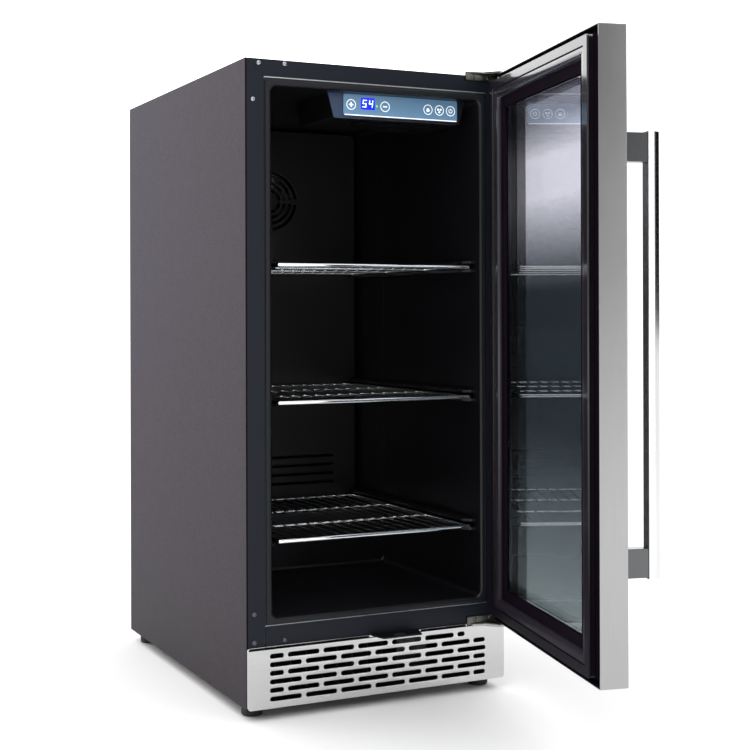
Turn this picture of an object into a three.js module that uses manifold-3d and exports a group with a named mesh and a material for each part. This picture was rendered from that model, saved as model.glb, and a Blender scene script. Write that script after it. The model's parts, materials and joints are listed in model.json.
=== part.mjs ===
// Undercounter mini fridge with a glass door, built as an assembly of separate pieces.
//
// Units are millimetres. +Z is up, +X is to the right of someone facing the fridge, and the
// door is at -Y. The pieces are laid out in the cabinet's own frame: X = 0 is the middle of the
// cabinet, Y = 0 is its front face and Z = 0 is the surface that the feet stand on. The whole
// group is then moved so that its origin is under the middle of its box, with the door open.
import * as THREE from 'three';
import { mergeVertices } from 'three/addons/utils/BufferGeometryUtils.js';
import Module from 'manifold-3d';

const wasm = await Module();
wasm.setup();

// ---------------------------------------------------------------- driving dimensions
const CABINET = { halfWidth: 190, depth: 520, bottom: 15, top: 850, cornerRadius: 2 };
const SHEET = 1;                       // painted steel sheet of the casing
const GAP = 0.3;                       // clearance between pieces that touch
const FLANGE = { side: 25, top: 22 };  // folded front edges of the casing

const LINER = {
  halfWidth: 156, floor: 129, ceiling: 817, back: 430, wall: 2.5, cornerRadius: 10,
  rimHalfWidth: 164.7, rimBottom: 120.3, rimTop: 827.7, rimThickness: 2,
  stepFront: 300, stepTop: 218,
};
const BAY = { front: 320, ceiling: 197, frontCeiling: 96 };   // machine compartment
const TRAY = { bottom: 19, thickness: 1.2, flange: 15, halfWidth: 188.5 };

const GRILLE = { top: 95, front: -4, thickness: 1.2, cornerRadius: 4 };
const SLOT = {
  left: 30, height: 6, length: 44, pitch: 50.2, rows: 6, firstRow: 81.5, rowPitch: 11,
};

const DOOR = {
  halfWidth: 187, bottom: 96, top: 851, front: -45, back: -10, skin: 1.2,
  border: 50, angle: 77.4, seal: 11, sealWidth: 12,
};
const HINGE = {
  x: 178, y: -15, pinRadius: 2.5, leaf: 3, leafFront: -26, leafLeft: 132, plateRight: 185,
};
const GLASS = { margin: 10, thickness: 4, outerFront: -31.5, innerFront: -16 };
const HANDLE = {
  fromEdge: 27, width: 16, depth: 16, standOff: 34, length: 518, bevel: 4, postHeight: 34,
};

const SHELF = {
  levels: [585.5, 406, 226.5], halfWidth: 144, front: 8, back: 384,
  rim: 2.5, bar: 3, wire: 1.2, wireCount: 15, ledge: 17,
};
const FOOT = { radius: 14, height: 12, studRadius: 4, studTop: 40, x: 170, y: [35, 485] };

const CONTROL = {
  left: -67, right: 142, front: 18, back: 130, bottom: 782.5, slope: 9, wall: 2,
  faceLeft: -44.5, faceRight: 129, faceBottom: 787, faceTop: 815.5,
};
const BLADE_PITCH = 18;                // degrees, on both fans
const EVAPORATOR_FAN = { x: 0, y: 405, z: 700, radius: 46, hub: 15, depth: 12, blades: 5 };
const CONDENSER_FAN = { x: -100, y: 345, z: 104, radius: 53, hub: 18, depth: 16, blades: 5 };
const COMPRESSOR = { x: 92, y: 418, base: 35, top: 180, radius: 62 };

// ---------------------------------------------------------------- materials
const finish = (color, roughness, metalness, extra = {}) => new THREE.MeshStandardMaterial({
  color, roughness, metalness, ...extra,
});
const MATERIAL = {
  casing: finish('#5a565e', 0.55, 0.3),
  blackSteel: finish('#2a2e36', 0.45, 0.2),
  liner: finish('#0b0b0d', 0.4, 0),
  foam: finish('#d9c98f', 0.95, 0),
  zinc: finish('#a9adb0', 0.4, 0.9),
  stainless: finish('#c8c8c6', 0.3, 1),
  chrome: finish('#dfe2e4', 0.12, 1),
  blackPlastic: finish('#101014', 0.3, 0),
  rubber: finish('#151517', 0.7, 0),
  glass: finish('#8f9692', 0.05, 0, { transparent: true, opacity: 0.35 }),
  controlFace: finish('#55606e', 0.25, 0),
  display: finish('#1838d8', 0.2, 0),
  board: finish('#1f5a3a', 0.6, 0.1),
  lens: finish('#e8eef2', 0.3, 0, { transparent: true, opacity: 0.8 }),
  copper: finish('#b06a3c', 0.35, 1),
  aluminium: finish('#c2c5c8', 0.4, 1),
  compressor: finish('#15161a', 0.5, 0.3),
  whitePlastic: finish('#c9c9c4', 0.5, 0),
};

// ---------------------------------------------------------------- shape helpers
const X = new THREE.Vector3(1, 0, 0);
const Y = new THREE.Vector3(0, 1, 0);
const Z = new THREE.Vector3(0, 0, 1);

function boxBetween([x0, x1], [y0, y1], [z0, z1]) {
  const geometry = new THREE.BoxGeometry(x1 - x0, y1 - y0, z1 - z0);
  return geometry.translate((x0 + x1) / 2, (y0 + y1) / 2, (z0 + z1) / 2);
}

function polygon(points) {
  return new THREE.Shape(points.map(([a, b]) => new THREE.Vector2(a, b)));
}

function roundedRect([a0, a1], [b0, b1], radius) {
  const shape = new THREE.Shape();
  shape.moveTo(a0 + radius, b0);
  shape.lineTo(a1 - radius, b0);
  shape.absarc(a1 - radius, b0 + radius, radius, -Math.PI / 2, 0);
  shape.lineTo(a1, b1 - radius);
  shape.absarc(a1 - radius, b1 - radius, radius, 0, Math.PI / 2);
  shape.lineTo(a0 + radius, b1);
  shape.absarc(a0 + radius, b1 - radius, radius, Math.PI / 2, Math.PI);
  shape.lineTo(a0, b0 + radius);
  shape.absarc(a0 + radius, b0 + radius, radius, Math.PI, Math.PI * 1.5);
  return shape;
}

// An outline drawn in one pair of axes and run along the third.
function extrude(shape, from, to, basis, curveSegments) {
  const geometry = new THREE.ExtrudeGeometry(shape, {
    depth: to - from, bevelEnabled: false, curveSegments,
  });
  geometry.translate(0, 0, from);
  return geometry.applyMatrix4(new THREE.Matrix4().makeBasis(...basis));
}
// alongX takes (y, z) outlines, alongZ takes (x, y) outlines.
const alongX = (shape, x0, x1, segments = 3) => extrude(shape, x0, x1, [Y, Z, X], segments);
const alongZ = (shape, z0, z1, segments = 3) => extrude(shape, z0, z1, [X, Y, Z], segments);
// alongY takes (x, z) outlines; its basis runs backwards, so the two ends swap sign.
const alongY = (shape, y0, y1, segments = 3) => (
  extrude(shape, -y1, -y0, [X, Z, Y.clone().negate()], segments)
);

function cylinder(radius, from, to, axis, [a, b], sides = 16) {
  const geometry = new THREE.CylinderGeometry(radius, radius, to - from, sides);
  geometry.translate(0, (from + to) / 2, 0);
  if (axis === 'x') return geometry.rotateZ(-Math.PI / 2).translate(0, a, b);
  if (axis === 'y') return geometry.translate(a, 0, b);
  return geometry.rotateX(Math.PI / 2).translate(a, b, 0);
}

function tube(points, radius, steps, sides = 6) {
  const path = new THREE.CatmullRomCurve3(points.map((p) => new THREE.Vector3(...p)));
  const ring = Array.from({ length: sides }, (_, i) => {
    const turn = (2 * Math.PI * i) / sides;
    return [radius * Math.cos(turn), radius * Math.sin(turn)];
  });
  return new THREE.ExtrudeGeometry(polygon(ring), { steps, extrudePath: path });
}

function lathe(profile, sides) {
  const points = profile.map(([r, h]) => new THREE.Vector2(r, h));
  return new THREE.LatheGeometry(points, sides).rotateX(Math.PI / 2);
}

// ---------------------------------------------------------------- joining and cutting
function toSolid(shape) {
  if (!shape.isBufferGeometry) return shape;
  const bare = shape.clone();
  bare.deleteAttribute('normal');
  bare.deleteAttribute('uv');
  const merged = mergeVertices(bare, 1e-4);
  return new wasm.Manifold(new wasm.Mesh({
    numProp: 3,
    vertProperties: new Float32Array(merged.attributes.position.array),
    triVerts: new Uint32Array(merged.index.array),
  }));
}

function toGeometry(solid) {
  const { vertProperties, triVerts } = solid.getMesh();
  const geometry = new THREE.BufferGeometry();
  geometry.setAttribute('position', new THREE.BufferAttribute(vertProperties, 3));
  geometry.setIndex(new THREE.BufferAttribute(triVerts, 1));
  geometry.computeVertexNormals();
  return geometry;
}

const join = (shapes) => shapes.map(toSolid).reduce((all, next) => all.add(next));
const cut = (body, tools) => tools.map(toSolid).reduce((rest, tool) => rest.subtract(tool), toSolid(body));

function piece(parent, name, shape, material) {
  const mesh = new THREE.Mesh(shape.isBufferGeometry ? shape : toGeometry(shape), material);
  mesh.name = name;
  parent.add(mesh);
  return mesh;
}

// ---------------------------------------------------------------- casing
// Screws of the front face: [x, z] in the cabinet's frame.
const FACE_SCREWS = [[-172, 844], [-136, 845], [-180, 797], [-180, 137], [-180, 100.5], [-138, 100.5]];
const SCREW = { head: 3.2, headHeight: 1.6, shank: 1.8, hole: 2.2, length: 2.5 };

function screwHoles() {
  return FACE_SCREWS.map(([x, z]) => cylinder(SCREW.hole, -1, SHEET + 1, 'y', [x, z], 10));
}

function sidePanel(side) {
  const { halfWidth, depth, bottom, top, cornerRadius } = CABINET;
  const outside = side * halfWidth;
  const inside = side * (halfWidth - SHEET);
  const bendX = side * (halfWidth - cornerRadius);
  const flangeEnd = side * (halfWidth - FLANGE.side);
  const outline = new THREE.Shape();
  outline.moveTo(outside, depth);
  outline.lineTo(outside, cornerRadius);
  outline.quadraticCurveTo(outside, 0, bendX, 0);
  outline.lineTo(flangeEnd, 0);
  outline.lineTo(flangeEnd, SHEET);
  outline.lineTo(bendX, SHEET);
  outline.quadraticCurveTo(inside, SHEET, inside, cornerRadius);
  outline.lineTo(inside, depth);
  const aboveMitre = polygon([
    [flangeEnd - side, top - FLANGE.top - 1],
    [inside, top - SHEET - GAP],
    [inside, top + 1],
    [flangeEnd - side, top + 1],
  ]);
  return cut(alongZ(outline, bottom, top), [alongY(aboveMitre, -1, SHEET + 2), ...screwHoles()]);
}

function topPanel() {
  const { halfWidth, depth, top } = CABINET;
  const sheetEnd = halfWidth - SHEET - GAP;
  const flangeEnd = halfWidth - FLANGE.side - 0.4;
  const flange = polygon([
    [-sheetEnd, top], [-sheetEnd, top - SHEET], [-flangeEnd, top - FLANGE.top],
    [flangeEnd, top - FLANGE.top], [sheetEnd, top - SHEET], [sheetEnd, top],
  ]);
  const sheet = boxBetween([-sheetEnd, sheetEnd], [0, depth], [top - SHEET, top]);
  return cut(join([sheet, alongY(flange, 0, SHEET)]), screwHoles());
}

function lowerCrossPanel() {
  const end = CABINET.halfWidth - FLANGE.side - GAP;
  const front = boxBetween([-end, end], [0, SHEET], [GRILLE.top, LINER.rimBottom - GAP]);
  const underside = boxBetween([-end, end], [0, 20], [GRILLE.top, GRILLE.top + SHEET]);
  return cut(join([front, underside]), screwHoles());
}

function baseTray() {
  const { bottom, thickness, flange, halfWidth } = TRAY;
  const inner = halfWidth - thickness;
  const outline = polygon([
    [-halfWidth, bottom], [halfWidth, bottom], [halfWidth, bottom + flange],
    [inner, bottom + flange], [inner, bottom + thickness],
    [-inner, bottom + thickness], [-inner, bottom + flange], [-halfWidth, bottom + flange],
  ]);
  const holes = footPlaces().map(([x, y]) => (
    cylinder(FOOT.studRadius + 0.6, bottom - 1, bottom + thickness + 1, 'z', [x, y], 16)
  ));
  return cut(alongY(outline, 3, CABINET.depth - 1.5), holes);
}

function machineCompartmentCover() {
  const { front, ceiling, frontCeiling } = BAY;
  const start = 21.5;
  const end = CABINET.depth - 2;
  const outline = polygon([
    [start, frontCeiling - SHEET], [front + SHEET, frontCeiling - SHEET],
    [front + SHEET, ceiling - SHEET], [end, ceiling - SHEET],
    [end, ceiling], [front, ceiling], [front, frontCeiling], [start, frontCeiling],
  ]);
  return alongX(outline, -TRAY.halfWidth, TRAY.halfWidth);
}

function rearPanel() {
  const y = [CABINET.depth - 1.2, CABINET.depth - 0.2];
  return boxBetween([-TRAY.halfWidth, TRAY.halfWidth], y, [BAY.ceiling + 3, CABINET.top - SHEET - GAP]);
}

const VENT = { columns: 7, pitch: 19, left: -150, width: 6, rows: [[45, 85], [95, 135], [145, 180]] };
const INLET = { x: [112, 160], z: [46, 84], wall: 3 };

function rearVentCover() {
  const y = [CABINET.depth - 1.2, CABINET.depth - 0.2];
  const z = [TRAY.bottom + TRAY.thickness + GAP, BAY.ceiling + 2.5];
  const through = [y[0] - 1, y[1] + 1];
  const slots = VENT.rows.flatMap((row) => Array.from({ length: VENT.columns }, (_, i) => {
    const x = VENT.left + i * VENT.pitch;
    return boxBetween([x, x + VENT.width], through, row);
  }));
  const inletHole = boxBetween(
    [INLET.x[0] - GAP, INLET.x[1] + GAP], through, [INLET.z[0] - GAP, INLET.z[1] + GAP],
  );
  const plate = boxBetween([-TRAY.halfWidth + 2, TRAY.halfWidth - 2], y, z);
  return cut(plate, [...slots, inletHole]);
}

function powerInlet() {
  const { x, z, wall } = INLET;
  const shell = boxBetween(x, [CABINET.depth - 24, CABINET.depth], z);
  const socket = roundedRect([x[0] + wall * 3, x[1] - wall * 3], [z[0] + wall * 3, z[1] - wall * 3], 3);
  return cut(shell, [alongY(socket, CABINET.depth - 18, CABINET.depth + 1)]);
}

function innerLiner() {
  const { halfWidth, floor, ceiling, back, wall, cornerRadius, stepFront, stepTop } = LINER;
  const far = [-200, 200];
  const cavityOutline = roundedRect([-halfWidth, halfWidth], [floor, ceiling], cornerRadius);
  const cavity = cut(alongY(cavityOutline, -1, back), [
    boxBetween(far, [stepFront, back + 1], [0, stepTop]),
  ]);
  const shellOutline = linerOutline(0);
  const shell = cut(alongY(shellOutline, 0, back + wall), [
    boxBetween(far, [stepFront + wall, back + wall + 1], [0, stepTop - wall]),
  ]);
  const rim = alongY(
    roundedRect([-LINER.rimHalfWidth, LINER.rimHalfWidth], [LINER.rimBottom, LINER.rimTop], 3),
    0, LINER.rimThickness,
  );
  return join([cut(join([shell, rim]), [cavity]), ...shelfLedges()]);
}

// The liner's outer outline, grown by a clearance.
function linerOutline(clearance) {
  const grow = LINER.wall + clearance;
  return roundedRect(
    [-LINER.halfWidth - grow, LINER.halfWidth + grow],
    [LINER.floor - grow, LINER.ceiling + grow],
    LINER.cornerRadius + grow,
  );
}

// Two moulded ribs a side hold each shelf: it slides between them.
function shelfLedges() {
  const y = [14, SHELF.back + 4];
  const rib = 4;
  return SHELF.levels.flatMap((level) => [-1, 1].flatMap((side) => {
    const ends = [side * (LINER.halfWidth + 1), side * (LINER.halfWidth - SHELF.ledge)];
    const x = ends.sort((a, b) => a - b);
    const under = level - SHELF.rim - GAP;
    const over = level + SHELF.rim + 2.5;
    return [boxBetween(x, y, [under - rib, under]), boxBetween(x, y, [over, over + rib])];
  }));
}

function foamInsulation() {
  const clearance = GAP;
  const { back, wall, stepFront, stepTop } = LINER;
  const far = [-250, 250];
  const block = boxBetween(
    [-TRAY.halfWidth + 0.5, TRAY.halfWidth - 0.5], [3, CABINET.depth - 2],
    [BAY.frontCeiling + 1, CABINET.top - SHEET - 0.5],
  );
  const linerSpace = cut(alongY(linerOutline(clearance), -1, back + wall + clearance), [
    boxBetween(far, [stepFront + wall + clearance, back + 10], [0, stepTop - wall - clearance]),
  ]);
  const bay = boxBetween(far, [BAY.front - 1, CABINET.depth + 1], [0, BAY.ceiling + 1]);
  return cut(block, [linerSpace, bay]);
}

// ---------------------------------------------------------------- grille
function slotShape(x0, x1, z) {
  const radius = SLOT.height / 2;
  const end = (x, from) => Array.from({ length: 4 }, (_, i) => {
    const turn = from + (Math.PI * i) / 3;
    return [x + radius * Math.cos(turn), z + radius * Math.sin(turn)];
  });
  const right = end(x1 - radius, -Math.PI / 2);
  const left = end(x0 + radius, Math.PI / 2);
  return alongY(polygon([...right, ...left]), -10, 5);
}

// Odd rows start and end with a short slot, so the rows are staggered like brickwork.
function grilleSlots() {
  const left = -CABINET.halfWidth + SLOT.left;
  const slots = [];
  for (let row = 0; row < SLOT.rows; row += 1) {
    const z = SLOT.firstRow - row * SLOT.rowPitch;
    const staggered = row % 2 === 0;
    const start = staggered ? left + 25 : left;
    if (staggered) slots.push(slotShape(left, left + 19, z));
    const count = staggered ? 5 : 6;
    for (let i = 0; i < count; i += 1) {
      const x = start + i * SLOT.pitch;
      slots.push(slotShape(x, x + SLOT.length, z));
    }
    const lastLength = row === 0 ? 11 : 44;
    if (staggered) slots.push(slotShape(left + 276, left + 276 + lastLength, z));
    else slots.push(slotShape(left + 301, left + 319, z));
  }
  return slots;
}

const KEEPER = { x: [-16, 57], front: -27, thickness: 2, bevel: 8 };

function frontGrille() {
  const { halfWidth, bottom } = CABINET;
  const { top, front, thickness, cornerRadius } = GRILLE;
  const inset = thickness;
  const outer = roundedRect([-halfWidth, halfWidth], [bottom, top], cornerRadius);
  const inner = roundedRect(
    [-halfWidth + inset, halfWidth - inset], [bottom + inset, top - inset], cornerRadius - inset,
  );
  const hingeNotch = boxBetween([HINGE.leafLeft - 1, halfWidth + 1], [-6, 1], [top - 3.5, top + 1]);
  const keeperNotch = boxBetween([KEEPER.x[0] - 1, KEEPER.x[1] + 1], [-6, 1], [top - 2.5, top + 1]);
  return cut(alongY(outer, front, -GAP), [
    alongY(inner, front + thickness, 1), hingeNotch, keeperNotch, ...grilleSlots(),
  ]);
}

function lockKeeperPlate() {
  const { x, front, thickness, bevel } = KEEPER;
  const outline = polygon([[x[0], -GAP], [x[0] + bevel, front], [x[1] - bevel, front], [x[1], -GAP]]);
  return alongZ(outline, GRILLE.top - thickness, GRILLE.top);
}

// ---------------------------------------------------------------- hinges
// A leaf screwed to the front face and a leaf that reaches out to the hinge pin.
function hingeBracket(leafZ, plateZ) {
  const { leafFront, leafLeft, leaf, plateRight } = HINGE;
  const right = CABINET.halfWidth;
  const outline = new THREE.Shape();
  outline.moveTo(leafLeft + 2, 0);
  outline.lineTo(leafLeft + 6, -4);
  outline.lineTo(HINGE.x - 22, -8);
  outline.lineTo(HINGE.x - 12, leafFront + 6);
  outline.quadraticCurveTo(HINGE.x - 10, leafFront, HINGE.x - 4, leafFront);
  outline.lineTo(right - 6, leafFront);
  outline.quadraticCurveTo(right, leafFront, right, leafFront + 6);
  outline.lineTo(right, 0);
  const reach = alongZ(outline, leafZ[0], leafZ[1], 4);
  return join([reach, boxBetween([leafLeft, plateRight], [-leaf, 0], plateZ)]);
}

function hingePin(from, to) {
  return cylinder(HINGE.pinRadius, from, to, 'z', [HINGE.x, HINGE.y], 16);
}

// ---------------------------------------------------------------- control panel and light
function controlHousing() {
  const { left, right, front, back, bottom, slope, wall } = CONTROL;
  const top = LINER.ceiling - GAP;
  const shape = (inset, low, high) => polygon([
    [left + inset, high], [left + slope + inset, low], [right - slope - inset, low], [right - inset, high],
  ]);
  return cut(alongY(shape(0, bottom, top), front, back), [
    alongY(shape(wall, bottom + wall, top + 1), front + wall, back - wall),
  ]);
}

function controlFace() {
  const { faceLeft, faceRight, faceBottom, faceTop, front } = CONTROL;
  return alongY(roundedRect([faceLeft, faceRight], [faceBottom, faceTop], 3), front - 1.5, front);
}

function displayWindow() {
  const front = CONTROL.front - 1.5;
  return alongY(roundedRect([-19, 2], [795.6, 811.6], 1.5), front - 0.5, front);
}

function controlBoard() {
  return boxBetween([-40, 120], [30, 110], [804, 805.6]);
}

function lightLens() {
  return boxBetween([-10, 100], [45, 75], [CONTROL.bottom - 2, CONTROL.bottom]);
}

// ---------------------------------------------------------------- cooling parts
// Fins on a serpentine tube, joined into one block.
function finnedCoil({ x, y, z, fins, passes, radius }) {
  const finWidth = 1;
  const pitch = (x[1] - x[0] - finWidth) / (fins - 1);
  const plates = Array.from({ length: fins }, (_, i) => {
    const start = x[0] + i * pitch;
    return boxBetween([start, start + finWidth], y, z);
  });
  const step = (z[1] - z[0]) / passes;
  const middle = (y[0] + y[1]) / 2;
  const over = 7;
  const tubes = [];
  for (let i = 0; i < passes; i += 1) {
    const height = z[0] + (i + 0.5) * step;
    tubes.push(cylinder(radius, x[0] - over, x[1] + over, 'x', [middle, height], 4));
    if (i === passes - 1) break;
    const end = i % 2 === 0 ? x[1] + over : x[0] - over;
    tubes.push(cylinder(radius, height - radius, height + step + radius, 'z', [end, middle], 4));
  }
  return join([...plates, ...tubes]);
}

function fan({ radius, hub, depth, blades }) {
  const blade = new THREE.Shape();
  const sweep = Math.PI / blades * 0.72;
  blade.absarc(0, 0, radius - 1, -sweep, sweep);
  blade.absarc(0, 0, hub * 0.6, sweep * 1.2, -sweep * 1.2, true);
  const shapes = [cylinder(hub, -depth / 2, depth / 2, 'y', [0, 0], 16)];
  for (let i = 0; i < blades; i += 1) {
    const slab = alongY(blade, -0.9, 0.9, 2);
    slab.rotateX(THREE.MathUtils.degToRad(BLADE_PITCH));
    slab.rotateY((2 * Math.PI * i) / blades);
    shapes.push(slab);
  }
  return join(shapes);
}

function evaporatorCover() {
  const front = SHELF.back + 8;
  const y = [front, front + 2];
  const plate = alongY(roundedRect([-148, 148], [LINER.stepTop + 4, LINER.ceiling - 6], 8), ...y);
  const openings = [];
  for (let i = -4; i <= 4; i += 1) {
    const z = EVAPORATOR_FAN.z + i * 10;
    const reach = Math.sqrt(50 ** 2 - (i * 10) ** 2);
    openings.push(boxBetween([-reach, reach], [y[0] - 1, y[1] + 1], [z - 2, z + 2]));
  }
  for (let i = 0; i < 4; i += 1) {
    const z = LINER.stepTop + 30 + i * 14;
    openings.push(boxBetween([-110, 110], [y[0] - 1, y[1] + 1], [z, z + 4]));
  }
  return cut(plate, openings);
}

function evaporatorFanMotor() {
  const { x, y, z, depth } = EVAPORATOR_FAN;
  const back = y + depth / 2;
  const can = cylinder(17, back + 1, LINER.back - 3, 'y', [x, z], 20);
  const bracket = boxBetween([x - 60, x + 60], [LINER.back - 5, LINER.back - GAP], [z - 8, z + 8]);
  return join([can, bracket]);
}

function condenserFanShroud() {
  const { x, y, z, radius, depth } = CONDENSER_FAN;
  const half = radius + 10;
  const ySpan = [y - depth / 2 - 2, y + depth / 2 + 2];
  const frame = alongY(roundedRect([x - half, x + half], [z - half, z + half], 6), ...ySpan);
  const bore = cylinder(radius + 4, ySpan[0] - 1, ySpan[1] + 1, 'y', [x, z], 32);
  const strut = boxBetween([x - half, x + half], [ySpan[1] - 1, ySpan[1] + 3], [z - 5, z + 5]);
  const foot = boxBetween(
    [x - half, x + half], [ySpan[0], ySpan[1] + 12],
    [TRAY.bottom + TRAY.thickness, z - half + 4],
  );
  return join([cut(frame, [bore]), strut, foot]);
}

function condenserFanMotor() {
  const { x, y, z, depth } = CONDENSER_FAN;
  const start = y + depth / 2 + 5.3;
  return cylinder(22, start, start + 34, 'y', [x, z], 20);
}

function compressor() {
  const { x, y, base, top, radius } = COMPRESSOR;
  const height = top - base;
  const seam = height * 0.55;
  const profile = [
    [0, 0], [radius * 0.6, 0], [radius * 0.88, 10], [radius, 30], [radius, seam - 3],
    [radius + 4, seam - 3], [radius + 4, seam + 3], [radius, seam + 3], [radius, height - 34],
    [radius * 0.86, height - 14], [radius * 0.55, height - 3], [0, height],
  ];
  return lathe(profile, 16).translate(x, y, base);
}

function compressorBasePlate() {
  const { x, y, base } = COMPRESSOR;
  const half = [74, 56];
  const trayTop = TRAY.bottom + TRAY.thickness;
  const plate = boxBetween([x - half[0], x + half[0]], [y - half[1], y + half[1]], [base - 3, base]);
  const grommets = [-1, 1].flatMap((sx) => [-1, 1].map((sy) => (
    cylinder(8, trayTop, base - 1, 'z', [x + sx * (half[0] - 12), y + sy * (half[1] - 12)], 12)
  )));
  return join([plate, ...grommets]);
}

function dischargePipe() {
  return tube([
    [22, 400, 120], [6, 392, 116], [-12, 360, 88], [-20, 320, 76], [-22, 240, 74], [-22, 160, 74],
  ], 3, 22);
}

function suctionPipe() {
  return tube([
    [78, 487, 120], [76, 500, 126], [62, 506, 150], [50, 507, 172], [48, 507, BAY.ceiling - 2],
  ], 4, 16);
}

function filterDrier() {
  const profile = [[0, 0], [3, 0], [3, 12], [9, 18], [9, 82], [3, 88], [3, 100], [0, 100]];
  return lathe(profile, 14).translate(-4, 470, 60);
}

function drainTray() {
  const x = [-150, 150];
  const y = [150, 300];
  const z = [TRAY.bottom + TRAY.thickness, 45];
  const wall = 2;
  const hollow = boxBetween([x[0] + wall, x[1] - wall], [y[0] + wall, y[1] - wall], [z[0] + wall, z[1] + 1]);
  return cut(boxBetween(x, y, z), [hollow]);
}

// ---------------------------------------------------------------- shelves, feet
// A chrome wire shelf: a bent rim, a thicker front bar, and wires from front to back.
function shelf() {
  const { halfWidth, front, back, rim, bar, wire, wireCount } = SHELF;
  const sideX = halfWidth - rim;
  const rods = [
    cylinder(bar, -halfWidth, halfWidth, 'x', [front, 0], 6),
    cylinder(rim, -halfWidth, halfWidth, 'x', [back, 0], 6),
    cylinder(rim, front, back, 'y', [-sideX, 0], 6),
    cylinder(rim, front, back, 'y', [sideX, 0], 6),
  ];
  for (const y of [front + (back - front) / 3, front + ((back - front) * 2) / 3]) {
    rods.push(boxBetween([-sideX, sideX], [y - 1.8, y + 1.8], [-2.2, 1.4]));
  }
  const pitch = (2 * sideX) / (wireCount + 1);
  for (let i = 1; i <= wireCount; i += 1) {
    const x = -sideX + i * pitch;
    rods.push(boxBetween([x - wire, x + wire], [front, back], [0.6, 0.6 + 2 * wire]));
  }
  return join(rods);
}

function footPlaces() {
  return FOOT.y.flatMap((y) => [-FOOT.x, FOOT.x].map((x) => [x, y]));
}

function foot() {
  const { radius, height, studRadius, studTop } = FOOT;
  const profile = [
    [0, 0], [radius - 1.5, 0], [radius, 1.5], [radius, height - 1.5], [radius - 1.5, height],
    [studRadius, height], [studRadius, studTop], [0, studTop],
  ];
  return lathe(profile, 12);
}

function screw() {
  const { head, headHeight, shank, length } = SCREW;
  const profile = [
    [0, -length], [shank, -length], [shank, 0], [head, 0], [head * 0.8, headHeight], [0, headHeight],
  ];
  return lathe(profile, 8).rotateX(Math.PI / 2);
}

// ---------------------------------------------------------------- door, drawn closed
function doorSpan(inset) {
  return {
    x: [-DOOR.halfWidth + inset, DOOR.halfWidth - inset],
    z: [DOOR.bottom + inset, DOOR.top - inset],
  };
}

function frame(outerInset, innerInset, from, to, radius = 1) {
  const outer = doorSpan(outerInset);
  const inner = doorSpan(innerInset);
  return cut(alongY(roundedRect(outer.x, outer.z, radius), from, to), [
    boxBetween(inner.x, [from - 1, to + 1], inner.z),
  ]);
}

function pinHoles(radius) {
  return [cylinder(radius, DOOR.bottom - 1, DOOR.bottom + 14, 'z', [HINGE.x, HINGE.y], 16),
    cylinder(radius, DOOR.top - 14, DOOR.top + 1, 'z', [HINGE.x, HINGE.y], 16)];
}

// Folded stainless skin: a front plate with four sides turned back, and a window whose
// edge is turned in as far as the glass.
function doorFrame() {
  const { front, back, skin, border } = DOOR;
  const outer = doorSpan(0);
  const inner = doorSpan(skin);
  const window = doorSpan(border);
  const shell = cut(alongY(roundedRect(outer.x, outer.z, 1.5), front, back), [
    boxBetween(inner.x, [front + skin, back + 1], inner.z),
    boxBetween(window.x, [front - 1, front + 5], window.z),
    ...pinHoles(HINGE.pinRadius + 0.8),
  ]);
  return join([shell, frame(border - skin, border, front + skin / 2, GLASS.outerFront - GAP)]);
}

// Black moulded frame that fills the skin, holds the glass and carries the seal.
function doorInnerFrame() {
  const { front, back, skin, border, seal, sealWidth } = DOOR;
  const pocketBack = GLASS.innerFront + GLASS.thickness + GAP;
  const pocket = doorSpan(border - GLASS.margin - GAP);
  const body = frame(skin + GAP, border, front + skin + GAP, back, 1);
  const bead = frame(seal + sealWidth + 1, border, back - 1, back + 8, 3);
  return cut(join([body, bead]), [
    boxBetween(pocket.x, [front - 1, pocketBack], pocket.z),
    ...pinHoles(HINGE.pinRadius + 0.4),
  ]);
}

function glassPane(front) {
  const span = doorSpan(DOOR.border - GLASS.margin);
  return boxBetween(span.x, [front, front + GLASS.thickness], span.z);
}

function glassSpacer() {
  const outerBack = GLASS.outerFront + GLASS.thickness + GAP;
  const outer = DOOR.border - GLASS.margin + 1;
  return frame(outer, outer + 9, outerBack, GLASS.innerFront - GAP);
}

function doorGasket() {
  return frame(DOOR.seal, DOOR.seal + DOOR.sealWidth, DOOR.back + GAP, -GAP, 3);
}

function handleBar() {
  const { width, depth, standOff, bevel, length } = HANDLE;
  const x = handleX();
  const back = DOOR.front - standOff;
  const front = back - depth;
  const middle = (DOOR.bottom + DOOR.top) / 2;
  const outline = polygon([
    [x[0], back], [x[0], front + bevel], [x[0] + bevel, front],
    [x[1] - bevel, front], [x[1], front + bevel], [x[1], back],
  ]);
  return alongZ(outline, middle - length / 2, middle + length / 2);
}

function handleX() {
  const middle = -DOOR.halfWidth + HANDLE.fromEdge;
  return [middle - HANDLE.width / 2, middle + HANDLE.width / 2];
}

function handlePost(side) {
  const { standOff, length, postHeight } = HANDLE;
  const middle = (DOOR.bottom + DOOR.top) / 2;
  const outer = middle + side * (length / 2 - 2);
  const inner = outer - side * postHeight;
  const z = [Math.min(inner, outer), Math.max(inner, outer)];
  const [x0, x1] = handleX();
  return boxBetween([x0 + 1, x1 - 1], [DOOR.front - standOff + GAP, DOOR.front - GAP], z);
}

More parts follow.
